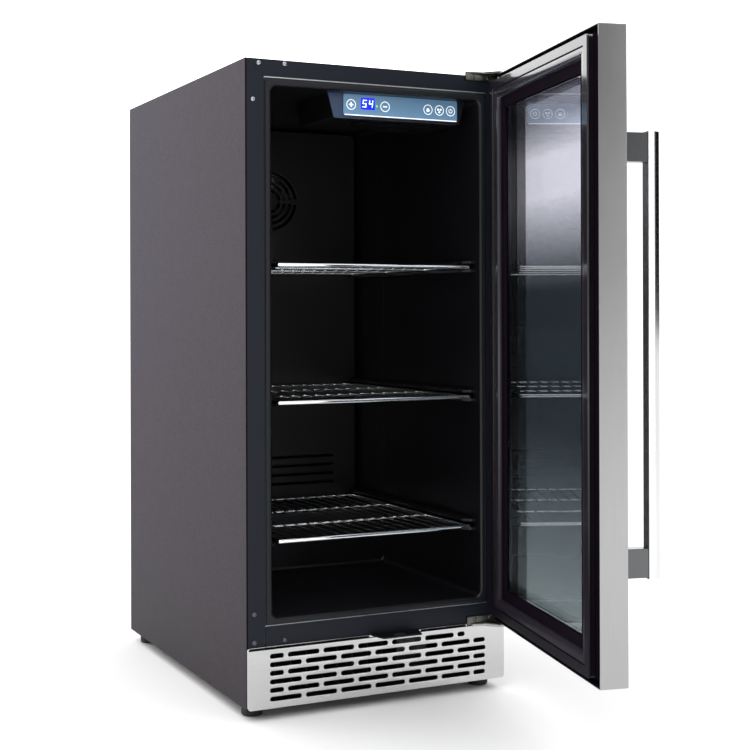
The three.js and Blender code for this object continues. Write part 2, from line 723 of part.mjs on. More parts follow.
// ---------------------------------------------------------------- assembly
function addCabinet(fridge) {
  piece(fridge, 'left_side_panel', sidePanel(-1), MATERIAL.casing);
  piece(fridge, 'right_side_panel', sidePanel(1), MATERIAL.casing);
  piece(fridge, 'top_panel', topPanel(), MATERIAL.casing);
  piece(fridge, 'lower_cross_panel', lowerCrossPanel(), MATERIAL.blackSteel);
  piece(fridge, 'base_tray', baseTray(), MATERIAL.zinc);
  piece(fridge, 'machine_compartment_cover', machineCompartmentCover(), MATERIAL.zinc);
  piece(fridge, 'rear_panel', rearPanel(), MATERIAL.casing);
  piece(fridge, 'rear_vent_cover', rearVentCover(), MATERIAL.blackSteel);
  piece(fridge, 'power_inlet', powerInlet(), MATERIAL.blackPlastic);
  piece(fridge, 'inner_liner', innerLiner(), MATERIAL.liner);
  piece(fridge, 'foam_insulation', foamInsulation(), MATERIAL.foam);
  piece(fridge, 'front_grille', frontGrille(), MATERIAL.stainless);
  piece(fridge, 'lock_keeper_plate', lockKeeperPlate(), MATERIAL.blackPlastic);
  FACE_SCREWS.forEach(([x, z], index) => {
    piece(fridge, `face_screw_${index + 1}`, screw(), MATERIAL.zinc).position.set(x, 0, z);
  });
}

function addHinges(fridge) {
  const { leaf } = HINGE;
  const topLeaf = [DOOR.top + 0.5, DOOR.top + 0.5 + leaf];
  const bottomLeaf = [DOOR.bottom - 1 - leaf, DOOR.bottom - 1];
  const topBracket = hingeBracket(topLeaf, [DOOR.top - DOOR.seal + 3, topLeaf[1]]);
  const bottomBracket = hingeBracket(bottomLeaf, [bottomLeaf[0], DOOR.bottom + DOOR.seal - 3]);
  piece(fridge, 'top_hinge_bracket', topBracket, MATERIAL.zinc);
  piece(fridge, 'top_hinge_pin', hingePin(topLeaf[0] - 11, topLeaf[0]), MATERIAL.chrome);
  piece(fridge, 'bottom_hinge_bracket', bottomBracket, MATERIAL.chrome);
  piece(fridge, 'bottom_hinge_pin', hingePin(bottomLeaf[1], bottomLeaf[1] + 11), MATERIAL.chrome);
}

function addControls(fridge) {
  piece(fridge, 'control_housing', controlHousing(), MATERIAL.blackPlastic);
  piece(fridge, 'control_panel_face', controlFace(), MATERIAL.controlFace);
  piece(fridge, 'display_window', displayWindow(), MATERIAL.display);
  piece(fridge, 'control_board', controlBoard(), MATERIAL.board);
  piece(fridge, 'light_lens', lightLens(), MATERIAL.lens);
}

function addCooling(fridge) {
  const evaporator = { x: [-105, 105], y: [402, 424], z: [330, 610], fins: 7, passes: 4, radius: 4 };
  const condenser = { x: [-140, 40], y: [30, 120], z: [26, 90], fins: 9, passes: 3, radius: 4 };
  const { x, y, z } = EVAPORATOR_FAN;
  piece(fridge, 'evaporator_cover', evaporatorCover(), MATERIAL.liner);
  piece(fridge, 'evaporator_coil', finnedCoil(evaporator), MATERIAL.aluminium);
  piece(fridge, 'evaporator_fan_motor', evaporatorFanMotor(), MATERIAL.blackPlastic);
  piece(fridge, 'evaporator_fan', fan(EVAPORATOR_FAN), MATERIAL.blackPlastic).position.set(x, y, z);
  piece(fridge, 'condenser_coil', finnedCoil(condenser), MATERIAL.blackSteel);
  piece(fridge, 'condenser_fan_shroud', condenserFanShroud(), MATERIAL.blackPlastic);
  piece(fridge, 'condenser_fan_motor', condenserFanMotor(), MATERIAL.blackPlastic);
  const condenserFan = piece(fridge, 'condenser_fan', fan(CONDENSER_FAN), MATERIAL.blackPlastic);
  condenserFan.position.set(CONDENSER_FAN.x, CONDENSER_FAN.y, CONDENSER_FAN.z);
  piece(fridge, 'compressor', compressor(), MATERIAL.compressor);
  piece(fridge, 'compressor_base_plate', compressorBasePlate(), MATERIAL.zinc);
  piece(fridge, 'discharge_pipe', dischargePipe(), MATERIAL.copper);
  piece(fridge, 'suction_pipe', suctionPipe(), MATERIAL.copper);
  piece(fridge, 'filter_drier', filterDrier(), MATERIAL.copper);
  piece(fridge, 'drain_tray', drainTray(), MATERIAL.whitePlastic);
}

function addShelvesAndFeet(fridge) {
  SHELF.levels.forEach((level, index) => {
    piece(fridge, `wire_shelf_${index + 1}`, shelf(), MATERIAL.chrome).position.set(0, 0, level);
  });
  const names = ['front_left', 'front_right', 'rear_left', 'rear_right'];
  footPlaces().forEach(([x, y], index) => {
    piece(fridge, `foot_${names[index]}`, foot(), MATERIAL.rubber).position.set(x, y, 0);
  });
}

// The door is drawn closed and turned about its hinge pins to the angle it stands open at.
function addDoor(fridge) {
  const hinge = new THREE.Group();
  hinge.position.set(HINGE.x, HINGE.y, 0);
  hinge.rotation.z = THREE.MathUtils.degToRad(DOOR.angle);
  const door = new THREE.Group();
  door.position.set(-HINGE.x, -HINGE.y, 0);
  hinge.add(door);
  fridge.add(hinge);
  piece(door, 'door_frame', doorFrame(), MATERIAL.stainless);
  piece(door, 'door_inner_frame', doorInnerFrame(), MATERIAL.blackPlastic);
  piece(door, 'outer_glass', glassPane(GLASS.outerFront), MATERIAL.glass);
  piece(door, 'inner_glass', glassPane(GLASS.innerFront), MATERIAL.glass);
  piece(door, 'glass_spacer', glassSpacer(), MATERIAL.aluminium);
  piece(door, 'door_gasket', doorGasket(), MATERIAL.rubber);
  piece(door, 'handle_bar', handleBar(), MATERIAL.stainless);
  piece(door, 'handle_post_upper', handlePost(1), MATERIAL.stainless);
  piece(door, 'handle_post_lower', handlePost(-1), MATERIAL.stainless);
}

const fridge = new THREE.Group();
fridge.name = 'mini_fridge';
addCabinet(fridge);
addHinges(fridge);
addControls(fridge);
addCooling(fridge);
addShelvesAndFeet(fridge);
addDoor(fridge);

// The origin goes under the middle of the whole box, to the nearest half millimetre.
const bounds = new THREE.Box3().setFromObject(fridge, true);
const toHalf = (value) => Math.round(value * 2) / 2;
fridge.position.set(
  -toHalf((bounds.min.x + bounds.max.x) / 2), -toHalf((bounds.min.y + bounds.max.y) / 2), 0,
);
fridge.updateMatrixWorld(true);

export default fridge;
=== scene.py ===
import json
import math

import bmesh
import bpy
from mathutils import Matrix, Vector

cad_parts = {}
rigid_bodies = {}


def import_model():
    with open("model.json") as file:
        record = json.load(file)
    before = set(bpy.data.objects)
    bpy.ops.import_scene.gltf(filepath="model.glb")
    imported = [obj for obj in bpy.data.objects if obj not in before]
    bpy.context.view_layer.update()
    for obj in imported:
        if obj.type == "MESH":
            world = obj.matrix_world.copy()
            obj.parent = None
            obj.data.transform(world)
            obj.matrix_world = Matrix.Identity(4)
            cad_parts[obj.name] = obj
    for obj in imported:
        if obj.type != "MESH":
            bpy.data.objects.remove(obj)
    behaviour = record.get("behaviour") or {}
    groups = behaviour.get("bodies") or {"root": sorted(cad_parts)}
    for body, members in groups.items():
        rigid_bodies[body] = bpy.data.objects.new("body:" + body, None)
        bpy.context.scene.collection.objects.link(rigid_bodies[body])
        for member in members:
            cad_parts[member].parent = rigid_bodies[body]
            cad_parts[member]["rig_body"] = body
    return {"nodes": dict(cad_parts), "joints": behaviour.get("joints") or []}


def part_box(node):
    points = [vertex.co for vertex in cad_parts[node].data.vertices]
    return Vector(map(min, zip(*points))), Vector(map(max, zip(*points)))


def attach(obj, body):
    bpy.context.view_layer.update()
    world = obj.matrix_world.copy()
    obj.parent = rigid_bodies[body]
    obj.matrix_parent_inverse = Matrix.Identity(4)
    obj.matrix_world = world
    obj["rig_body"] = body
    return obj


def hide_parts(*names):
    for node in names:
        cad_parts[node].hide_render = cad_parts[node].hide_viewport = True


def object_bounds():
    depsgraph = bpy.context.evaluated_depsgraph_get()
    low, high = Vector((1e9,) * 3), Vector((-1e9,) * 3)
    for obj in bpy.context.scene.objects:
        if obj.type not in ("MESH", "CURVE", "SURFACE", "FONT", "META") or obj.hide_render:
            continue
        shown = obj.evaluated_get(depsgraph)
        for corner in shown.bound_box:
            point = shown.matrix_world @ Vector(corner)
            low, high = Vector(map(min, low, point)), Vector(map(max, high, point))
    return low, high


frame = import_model()
cad_low, cad_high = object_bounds()

# A mini fridge with its glass door open. Every piece is drawn in millimetres in the cabinet's own
# frame, where X = 0 is the cabinet's middle, Y = 0 its front face and Z = 0 the floor, and the
# door is drawn closed. Each is then put in place by its body's matrix.
NODES = frame["nodes"]
HINGE_JOINT = next(joint for joint in frame["joints"] if joint["name"] == "door_hinge")


def cabinet_matrix():
    left_low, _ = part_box("left_side_panel")
    _, right_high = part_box("right_side_panel")
    origin = Vector(((left_low.x + right_high.x) / 2, left_low.y, 0))
    return Matrix.Translation(origin) @ Matrix.Scale(0.001, 4)


def door_matrix():
    pin = Vector(HINGE_JOINT["pos_m"])
    turn = Matrix.Rotation(math.radians(-HINGE_JOINT["range_deg"][0]), 4, "Z")
    return Matrix.Translation(pin) @ turn @ Matrix.Translation(-pin) @ CABINET


CABINET = cabinet_matrix()
DOOR = door_matrix()


def place(body):
    return DOOR if body == "door" else CABINET


def span(node):
    """How far a CAD node reaches along the drawn X, Y and Z, in millimetres."""
    back = place(NODES[node]["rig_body"]).inverted()
    points = [back @ vertex.co for vertex in NODES[node].data.vertices]
    return [(min(p[i] for p in points), max(p[i] for p in points)) for i in range(3)]


def middle(reach):
    return (reach[0] + reach[1]) / 2


def grown(reach, by):
    return (reach[0] - by, reach[1] + by)


# ---- outlines
def fillet(corners, closed=True, steps=5):
    """A path through corners (a, b) or (a, b, radius), where a radius is drawn as an arc."""
    path = []
    for i, (a, b, *radius) in enumerate(corners):
        here = Vector((a, b))
        if not radius or (not closed and i in (0, len(corners) - 1)):
            path.append(here)
            continue
        before = (Vector(corners[i - 1][:2]) - here).normalized()
        after = (Vector(corners[(i + 1) % len(corners)][:2]) - here).normalized()
        half = before.angle(after) / 2
        reach = radius[0] / math.tan(half)
        centre = here + (before + after).normalized() * (radius[0] / math.sin(half))
        first = here + before * reach - centre
        last = here + after * reach - centre
        for k in range(steps + 1):
            path.append(centre + first.lerp(last, k / steps).normalized() * radius[0])
    return path


def rounded_rect(a, b, radius, steps=6):
    corners = [(a[0], b[0]), (a[1], b[0]), (a[1], b[1]), (a[0], b[1])]
    return fillet([(*corner, radius) for corner in corners], steps=steps)


def circle(centre, radius, sides=24):
    turns = [2 * math.pi * i / sides for i in range(sides)]
    return [Vector(centre) + radius * Vector((math.cos(t), math.sin(t))) for t in turns]


def stadium(a, b, steps=8):
    """A slot with round ends, as wide as its narrower side."""
    radius = min(a[1] - a[0], b[1] - b[0]) / 2 * 0.999
    return rounded_rect(a, b, radius, steps)


def anticlockwise(path):
    area = sum(p.cross(path[i - 1]) for i, p in enumerate(path))
    return path if area < 0 else path[::-1]


def offset(path, distance, closed=True):
    """The path moved to the left of its direction, with mitred corners."""
    moved = []
    last = len(path) - 1
    for i, here in enumerate(path):
        before = path[i - 1] if closed or i else 2 * here - path[1]
        after = path[(i + 1) % len(path)] if closed or i < last else 2 * here - path[i - 1]
        into = (here - before).normalized()
        out = (after - here).normalized()
        side = Vector((-into.y - out.y, into.x + out.x)).normalized()
        stretch = max(0.3, Vector((-into.y, into.x)).dot(side))
        moved.append(here + side * distance / stretch)
    return moved


# ---- mesh parts
def lift(axis, a, b, along):
    """A point of an outline at a place along the third axis."""
    return {"x": (along, a, b), "y": (a, along, b), "z": (a, b, along)}[axis]


def loop_at(bm, path, axis, along):
    return [bm.verts.new(lift(axis, a, b, along)) for a, b in path]


def bridge(bm, loops, around=True, along=False):
    """Joins rows of vertices with quads."""
    rows = len(loops) if along else len(loops) - 1
    columns = len(loops[0]) if around else len(loops[0]) - 1
    for i in range(rows):
        low, high = loops[i], loops[(i + 1) % len(loops)]
        for k in range(columns):
            after = (k + 1) % len(low)
            bm.faces.new((low[k], low[after], high[after], high[k]))


def edge_rounding(low, high, bevel, steps=2):
    """(place along the thickness, inset) of the rows that round a plate's edges."""
    turns = [math.pi / 2 * i / steps for i in range(steps + 1)]
    front = [(low + bevel * (1 - math.cos(t)), bevel * (1 - math.sin(t))) for t in turns]
    return front + [(low + high - along, inset) for along, inset in reversed(front)]


def plate(bm, paths, axis, reach, bevel=0.3):
    """A flat plate. The first path is its outline and the others are holes."""
    ends = ([], [])
    for k, path in enumerate(paths):
        path = anticlockwise(path)
        sign = -1 if k else 1
        loops = []
        for along, inset in edge_rounding(*reach, bevel):
            loops.append(loop_at(bm, offset(path, inset * sign), axis, along))
        bridge(bm, loops)
        for end, loop in zip(ends, (loops[0], loops[-1])):
            for i, vertex in enumerate(loop):
                end.append(bm.edges.get((vertex, loop[i - 1])))
    for end in ends:
        bmesh.ops.triangle_fill(bm, edges=end, use_beauty=True)


def folded_sheet(bm, path, thickness, axis, low, high):
    """Sheet metal bent along a path. low and high give its two ends at each point of the path."""
    inner = offset(path, thickness, closed=False)
    rows = []
    for side in (path, inner):
        rows.append([bm.verts.new(lift(axis, *p, low(p))) for p in side])
        rows.append([bm.verts.new(lift(axis, *p, high(p))) for p in side])
    outer_low, outer_high, inner_low, inner_high = rows
    bridge(bm, [outer_low, outer_high, inner_high, inner_low], around=False, along=True)
    for i in (0, -1):
        bm.faces.new((outer_low[i], outer_high[i], inner_high[i], inner_low[i]))


def ring(bm, x, z, profile, radius):
    """A frame round the span x by z: its section is a closed path of (inset, y)."""
    loops = []
    for inset, y in profile:
        corner = max(radius - inset, 0.6)
        path = rounded_rect(grown(x, -inset), grown(z, -inset), corner, 4)
        loops.append(loop_at(bm, path, "y", y))
    bridge(bm, loops, along=True)


def lathe(bm, profile, axis, centre, sides=32):
    """A profile of (radius, place along the axis) turned about the axis through centre."""
    loops = []
    for radius, along in profile:
        loops.append(loop_at(bm, circle(centre, max(radius, 0.0002), sides), axis, along))
    bridge(bm, loops)


DOME = [(1, 0.15), (0.85, 0.55), (0.5, 0.87), (0, 1.0)]   # a domed end's (reach, radius) in radii


def rod(bm, points, radius, sides=12, domed=False):
    """A round bar along a path, with flat or domed ends."""
    points = [Vector(p) for p in points]
    tangents = []
    for i in range(len(points)):
        before = points[max(i - 1, 0)]
        after = points[min(i + 1, len(points) - 1)]
        tangents.append((after - before).normalized())
    rows = [(p, t, 1.0) for p, t in zip(points, tangents)]
    if domed:
        first, last = tangents[0] * radius, tangents[-1] * radius
        start = [(points[0] + first * (1 - out), tangents[0], share) for out, share in DOME]
        end = [(points[-1] - last * (1 - out), tangents[-1], share) for out, share in DOME]
        rows = start + rows[1:-1] + end[::-1]
    side = tangents[0].orthogonal().normalized()
    loops = []
    for point, tangent, share in rows:
        side = (side - tangent * side.dot(tangent)).normalized()
        up = tangent.cross(side)
        loops.append([
            bm.verts.new(point + radius * share * (side * math.cos(t) + up * math.sin(t)))
            for t in (2 * math.pi * k / sides for k in range(sides))
        ])
    bridge(bm, loops)
    bm.faces.new(loops[0])
    bm.faces.new(loops[-1])


def prism(bm, path, axis, reach):
    """A solid of one outline with sharp edges."""
    loops = [loop_at(bm, path, axis, along) for along in reach]
    bridge(bm, loops)
    for loop in loops:
        bm.faces.new(loop)


MERGE = 0.0015       # vertices closer than this become one
BEVEL_SEGMENTS = 2


def add_piece(name, bm, slot, replaced=(), body="cabinet", bevel=0.0, smooth=38, look=None):
    """Makes a piece of what was drawn, puts it in place, fixes it to its body and hides the CAD nodes
    that it replaces.

    It is drawn with the material of its slot, or with another of MATERIALS given as look. Edges
    sharper than smooth, in degrees, stay sharp, and a bevel rounds them.
    """
    bmesh.ops.remove_doubles(bm, verts=bm.verts, dist=MERGE)
    bmesh.ops.recalc_face_normals(bm, faces=bm.faces)
    mesh = bpy.data.meshes.new(name)
    bm.to_mesh(mesh)
    bm.free()
    mesh.transform(place(body))
    mesh.materials.append(MATERIALS[look or slot])
    mesh.shade_smooth()
    mesh.set_sharp_from_angle(angle=math.radians(smooth))
    piece = bpy.data.objects.new(name, mesh)
    bpy.context.scene.collection.objects.link(piece)
    if bevel:
        rounding = piece.modifiers.new("rounded_edges", "BEVEL")
        rounding.width = bevel * 0.001
        rounding.segments = BEVEL_SEGMENTS
        rounding.limit_method = "ANGLE"
        rounding.angle_limit = math.radians(smooth)
    shading = piece.modifiers.new("even_shading", "WEIGHTED_NORMAL")
    shading.keep_sharp = True
    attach(piece, body)
    if replaced:
        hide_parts(*replaced)
    return piece


def add_plate(name, paths, axis, reach, bevel, slot, replaced=(), body="cabinet", look=None):
    """A piece that is one flat plate."""
    bm = bmesh.new()
    plate(bm, paths, axis, reach, bevel)
    return add_piece(name, bm, slot, replaced, body, look=look)


# ---- materials
MATERIALS = {}       # every Finish's material, by its name


def srgb(red, green, blue):
    """A colour given as 0 to 255 screen values."""
    def linear(value):
        share = value / 255
        return share / 12.92 if share <= 0.04045 else ((share + 0.055) / 1.055) ** 2.4
    return (linear(red), linear(green), linear(blue), 1.0)


class Nodes:
    """A node tree, and the kinds of node that are added to it."""

    def __init__(self, tree, coordinate):
        self.tree = tree
        self.where = tree.nodes.new("ShaderNodeTexCoord").outputs[coordinate]

    def add(self, kind, inputs, data_type=None):
        """A new node's outputs. Each of its inputs is a constant or another node's output."""
        node = self.tree.nodes.new("ShaderNode" + kind)
        if data_type:
            node.data_type = data_type
        for name, value in inputs.items():
            if isinstance(value, bpy.types.NodeSocket):
                self.tree.links.new(value, node.inputs[name])
            else:
                node.inputs[name].default_value = value
        return node.outputs

    def noise(self, per_metre, stretch=(1, 1, 1), detail=3.0, roughness=0.55):
        inputs = {"Scale": per_metre, "Detail": detail, "Roughness": roughness}
        inputs["Vector"] = self.add("Mapping", {"Vector": self.where, "Scale": stretch})["Vector"]
        return self.add("TexNoise", inputs)["Fac"]

    def part(self, axis):
        return self.add("SeparateXYZ", {"Vector": self.where})[axis]

    def height(self, axis, start, end):
        """0 at start and 1 at end, along an axis."""
        return self.remap(self.part(axis), start, end)

    def remap(self, factor, start, end, low=0.0, high=1.0):
        inputs = {"Value": factor, "From Min": start, "From Max": end, "To Min": low, "To Max": high}
        return self.add("MapRange", inputs)["Result"]

    def mix(self, factor, first, second):
        """A colour between two, each a constant or another mix."""
        return self.add("Mix", {"Factor": factor, 6: first, 7: second}, "RGBA")[2]


class Finish(Nodes):
    """A Principled material with noise for its colour, roughness and relief."""

    def __init__(self, name, color, roughness, metallic=0.0, **constants):
        MATERIALS[name] = material = bpy.data.materials.new(name)
        material.use_nodes = True
        super().__init__(material.node_tree, "Object")
        self.shader = self.tree.nodes["Principled BSDF"]
        constants.update(base_color=color, roughness=roughness, metallic=metallic)
        for socket, value in constants.items():
            socket = socket.replace("_", " ").title().replace("Ior", "IOR")
            self.shader.inputs[socket].default_value = value

    def feed(self, socket, value):
        self.tree.links.new(value, self.shader.inputs[socket])
        return self

    def paint(self, color):
        return self.feed("Base Color", color)

    def sheen_spread(self, factor, low, high):
        """Roughness that wanders between two values."""
        return self.feed("Roughness", self.remap(factor, 0.15, 0.85, low, high))

    def relief(self, factor, depth_mm, strength=1.0):
        bump = {"Distance": depth_mm * 0.001, "Strength": strength, "Height": factor}
        return self.feed("Normal", self.add("Bump", bump)["Normal"])


def casing_paint():
    """Textured brown-grey paint: a fine dark and light grain over a warm grey, with painted light that
    makes it lighter towards the back and painted shade that darkens it towards the floor.
    """
    made = Finish("casing_paint", srgb(60, 56, 60), 0.6, specular_ior_level=0.2)
    grain = made.noise(620, detail=2.5, roughness=0.7)
    speckle = made.remap(grain, 0.32, 0.68)
    # painted light: lighter and more purple towards the back
    depth = made.height("Y", cad_low.y, cad_high.y)
    dark = made.mix(depth, srgb(35, 30, 34), srgb(39, 33, 42))
    light = made.mix(depth, srgb(63, 56, 62), srgb(73, 65, 79))
    high = made.mix(speckle, dark, light)
    # painted shade: a darker grain near the floor, gone by 0.6 m up
    low = made.mix(speckle, srgb(24, 19, 25), srgb(50, 42, 50))
    made.paint(made.mix(made.height("Z", -0.1, 0.6), low, high))
    made.sheen_spread(made.noise(40, detail=2), 0.58, 0.62)
    made.relief(grain, 0.12, 0.6)


def front_paint():
    """Smooth satin paint of the front flanges."""
    made = Finish("front_paint", srgb(27, 30, 37), 0.45, specular_ior_level=0.2)
    waves = made.noise(35, detail=2)
    made.paint(made.mix(waves, srgb(17, 21, 31), srgb(23, 27, 38)))
    made.sheen_spread(waves, 0.4, 0.5)
    made.relief(made.noise(900, detail=2), 0.01, 0.3)


def brushed_steel(name, stretch, color, roughness=(0.22, 0.27)):
    """Stainless steel brushed one way: long scratches across which the shine varies."""
    made = Finish(name, color, roughness[0], 1.0)
    scratches = made.noise(1500, stretch, detail=3, roughness=0.65)
    clouds = made.noise(14, stretch=(1, 1, 0.4), detail=2)
    warm = tuple(c * 0.93 for c in color[:3]) + (1.0,)
    made.paint(made.mix(made.remap(scratches, 0.35, 0.65), warm, color))
    made.sheen_spread(clouds, *roughness)
    made.relief(scratches, 0.006, 0.5)


def chrome():
    made = Finish("chrome", srgb(236, 238, 240), 0.08, 1.0)
    smudges = made.noise(60, detail=3)
    made.sheen_spread(smudges, 0.05, 0.13)
    made.relief(smudges, 0.01, 0.2)


def zinc_steel():
    """Zinc-plated steel with its faint crystal pattern."""
    made = Finish("zinc_steel", srgb(100, 100, 94), 0.34, 1.0)
    cells = made.noise(120, detail=4)
    made.paint(made.mix(cells, srgb(84, 84, 79), srgb(116, 116, 109)))
    made.sheen_spread(cells, 0.26, 0.44)
    made.relief(made.noise(700, detail=2), 0.01, 0.4)


def moulded_plastic(name, dark, light, roughness, grain_mm, **constants):
    """Injection-moulded plastic: faint grain, and colour that drifts a little."""
    made = Finish(name, light, roughness[0], **constants)
    drift = made.noise(16, detail=2)
    made.paint(made.mix(drift, dark, light))
    made.sheen_spread(drift, *roughness)
    made.relief(made.noise(1400, detail=2), grain_mm, 0.35)


def slate_plastic():
    """Blue-grey plastic of the control housing, darker away from its left end."""
    made = Finish("slate_plastic", srgb(45, 61, 89), 0.36)
    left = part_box("control_housing")[0].x
    slate = made.mix(made.noise(16, detail=2), srgb(46, 62, 90), srgb(56, 76, 108))
    made.paint(made.mix(made.height("X", left + 0.02, left + 0.06), slate, srgb(17, 20, 31)))
    made.relief(made.noise(1400, detail=2), 0.015, 0.35)


def shinier_upwards(name, dark, light, roughness):
    """Dull black that has a clear gloss towards the door's head."""
    made = Finish(name, light, roughness, specular_ior_level=0.1, coat_roughness=0.1, coat_ior=2.0)
    made.paint(made.mix(made.noise(16, detail=2), dark, light))
    made.feed("Coat Weight", made.height("Z", 0.2, 0.7))
    made.relief(made.noise(1400, detail=2), 0.01, 0.3)


def seal_rubber():
    """Soft black seal, dull at its foot and shinier towards its head."""
    shinier_upwards("seal_rubber", srgb(21, 17, 24), srgb(29, 25, 33), 0.5)


def tinted_glass():
    """Grey insulating glass, with painted reflections that make it lighter towards its head and foot.
    """
    made = Finish("tinted_glass", srgb(150, 156, 162), 0.0, transmission_weight=1.0, ior=1.5)
    # painted reflection of the floor: lighter towards the foot of the glass
    foot = made.height("Z", 0.38, 0.16)
    # painted reflection of the sky: lighter towards its head, and grey again above 0.72 m
    head = made.height("Z", 0.55, 0.67)
    floor_reflection_tint = made.mix(foot, srgb(108, 116, 124), srgb(186, 194, 196))
    lighter = made.mix(head, floor_reflection_tint, srgb(248, 248, 255))
    made.paint(made.mix(made.height("Z", 0.72, 0.77), lighter, srgb(176, 178, 186)))


def glowing(name, color, strength):
    """An even colour that also lights itself: backlit printing and display, a lamp, and a painted
    highlight.
    """
    made = Finish(name, color, 0.25, emission_color=color, emission_strength=strength)
    made.relief(made.noise(900, detail=1), 0.004, 0.2)


def control_face_film():
    """Blue-grey film of the control panel, with a painted glow, and a painted highlight that makes it
    lighter along its foot.
    """
    # painted glow: the film is no lamp, yet it lights itself
    made = Finish("control_face", srgb(95, 128, 155), 0.3, emission_color=srgb(88, 122, 152),
                  emission_strength=0.4)
    low, high = (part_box("control_panel_face")[i].z for i in (0, 1))
    # painted highlight along the film's foot
    foot = made.height("Z", high, low)
    drift = made.mix(made.noise(25, detail=2), srgb(84, 116, 142), srgb(94, 130, 160))
    made.paint(made.mix(foot, drift, srgb(104, 140, 170)))


def foam_finish():
    made = Finish("foam", srgb(214, 196, 140), 0.9)
    cells = made.noise(420, detail=3)
    made.paint(made.mix(cells, srgb(196, 176, 120), srgb(226, 210, 158)))
    made.relief(cells, 0.4, 0.8)


def circuit_board():
    made = Finish("circuit_board", srgb(30, 88, 56), 0.45, coat_weight=0.4)
    traces = made.noise(260, stretch=(1, 0.2, 1), detail=0)
    made.paint(made.mix(made.remap(traces, 0.49, 0.52), srgb(22, 70, 44), srgb(48, 112, 72)))


def light_lens():
    made = Finish("light_lens", srgb(11, 12, 15), 0.6, specular_ior_level=0.1)
    made.relief(made.noise(400, stretch=(1, 0.1, 1), detail=1), 0.05, 0.5)


def worn_metal(name, dark, light, roughness, metallic):
    made = Finish(name, light, roughness[0], metallic)
    stains = made.noise(45, detail=4)
    made.paint(made.mix(stains, dark, light))
    made.sheen_spread(stains, *roughness)
    made.relief(made.noise(800, detail=2), 0.01, 0.4)


DULL = {"specular_ior_level": 0.0}
GLOSS = {"coat_weight": 1.0, "coat_roughness": 0.1, "coat_ior": 1.9}
# Dark and light colour, roughness, grain in mm, and constants.
PLASTICS = {
    "liner_plastic": ((11, 10, 13), (17, 16, 20), (0.3, 0.38), 0.015, {"specular_ior_level": 0.4}),
    "rim_plastic": ((21, 23, 29), (27, 29, 36), (0.42, 0.5), 0.015, {"specular_ior_level": 0.25}),
    "black_plastic": ((26, 25, 29), (38, 38, 42), (0.22, 0.3), 0.015, GLOSS),
    "frame_black_and_fold_shade": ((21, 16, 23), (28, 22, 31), (0.6, 0.7), 0.015, DULL),
    "foot_rubber": ((20, 20, 22), (32, 32, 34), (0.6, 0.75), 0.03, {}),
    "tray_plastic": ((186, 186, 180), (208, 208, 202), (0.4, 0.5), 0.015, {}),
}
# Dark and light colour, roughness, and metallic.
METALS = {
    "screw_steel": ((150, 152, 156), (184, 186, 190), (0.2, 0.3), 1.0),
    "darker_screw_steel": ((84, 86, 92), (112, 114, 120), (0.35, 0.45), 1.0),
    "aluminium": ((170, 172, 174), (206, 208, 210), (0.3, 0.45), 1.0),
    "condenser_black": ((20, 20, 22), (34, 34, 36), (0.4, 0.6), 0.2),
    "compressor_paint": ((18, 19, 22), (30, 31, 34), (0.35, 0.5), 0.1),
    "copper": ((150, 84, 52), (206, 132, 92), (0.22, 0.42), 1.0),
}
UPRIGHT = (1, 1, 0.012)
LEVEL = (0.012, 1, 1)


def make_materials():
    for finish in (casing_paint, front_paint, zinc_steel, chrome, foam_finish, slate_plastic,
                   seal_rubber, tinted_glass, control_face_film, circuit_board, light_lens):
        finish()
    shinier_upwards("bead_plastic", srgb(36, 33, 40), srgb(48, 45, 52), 0.3)
    brushed_steel("stainless", UPRIGHT, srgb(162, 162, 162))
    brushed_steel("stainless_across", LEVEL, srgb(202, 202, 202))
    brushed_steel("handle_steel", UPRIGHT, srgb(212, 212, 212), (0.1, 0.14))
    brushed_steel("dark_steel_and_handle_shade", UPRIGHT, srgb(96, 97, 99))
    glowing("display", srgb(0, 20, 235), 0.9)
    glowing("digits", srgb(205, 240, 255), 1.6)
    # also drawn with this: the painted highlight along the control face's foot
    glowing("lit_print_and_highlight", srgb(235, 240, 245), 0.9)
    glowing("lamp", srgb(60, 235, 90), 2.0)
    for name, (dark, light, roughness, grain_mm, constants) in PLASTICS.items():
        moulded_plastic(name, srgb(*dark), srgb(*light), roughness, grain_mm, **constants)
    for name, (dark, light, roughness, metallic) in METALS.items():
        worn_metal(name, srgb(*dark), srgb(*light), roughness, metallic)


make_materials()


# ---- casing
SHEET = 1.0          # thickness of the casing's steel
BEND = 2.0           # outer radius of the casing's folds
FLANGE_DROP = 22.0   # height of the top panel's front flange
FLANGE_WIDTH = 25.0  # width of the side panels' front flanges
MITRE_GAP = 0.7      # between the flanges where they meet


def use_behind(piece, material, start, body=CABINET):
    """The piece has another material further back than start, along the body's own Y."""
    piece.data.materials.append(MATERIALS[material])
    last = len(piece.data.materials) - 1
    own = body.inverted()
    for polygon in piece.data.polygons:
        if (own @ polygon.center).y > start:
            polygon.material_index = last


def add_shell(node, bm):
    """A shell with a smooth front, a fold painted dull black as shade, and textured paint behind it."""
    shell = add_piece(node + "_shell", bm, "casing_paint", [node], bevel=0.4, look="front_paint")
    # painted shade: the fold is dull black, standing in for the shadow gap between the front and the
    # side
    use_behind(shell, "frame_black_and_fold_shade", 0.03)
    use_behind(shell, "casing_paint", 1.8)


def side_panel(node, side):
    x, y, z = span(node)
    outside = x[0] if side < 0 else x[1]
    flange_end = x[1] if side < 0 else x[0]
    width = x[1] - x[0] - SHEET

    def mitred_top(point):
        inward = max(0.0, side * (outside - point.x) - SHEET)
        return z[1] - MITRE_GAP - FLANGE_DROP * inward / width if inward else z[1]

    bm = bmesh.new()
    path = fillet([(outside, y[1]), (outside, y[0], BEND), (flange_end, y[0])], closed=False)
    folded_sheet(bm, path, -side * SHEET, "z", lambda p: z[0], mitred_top)
    add_shell(node, bm)


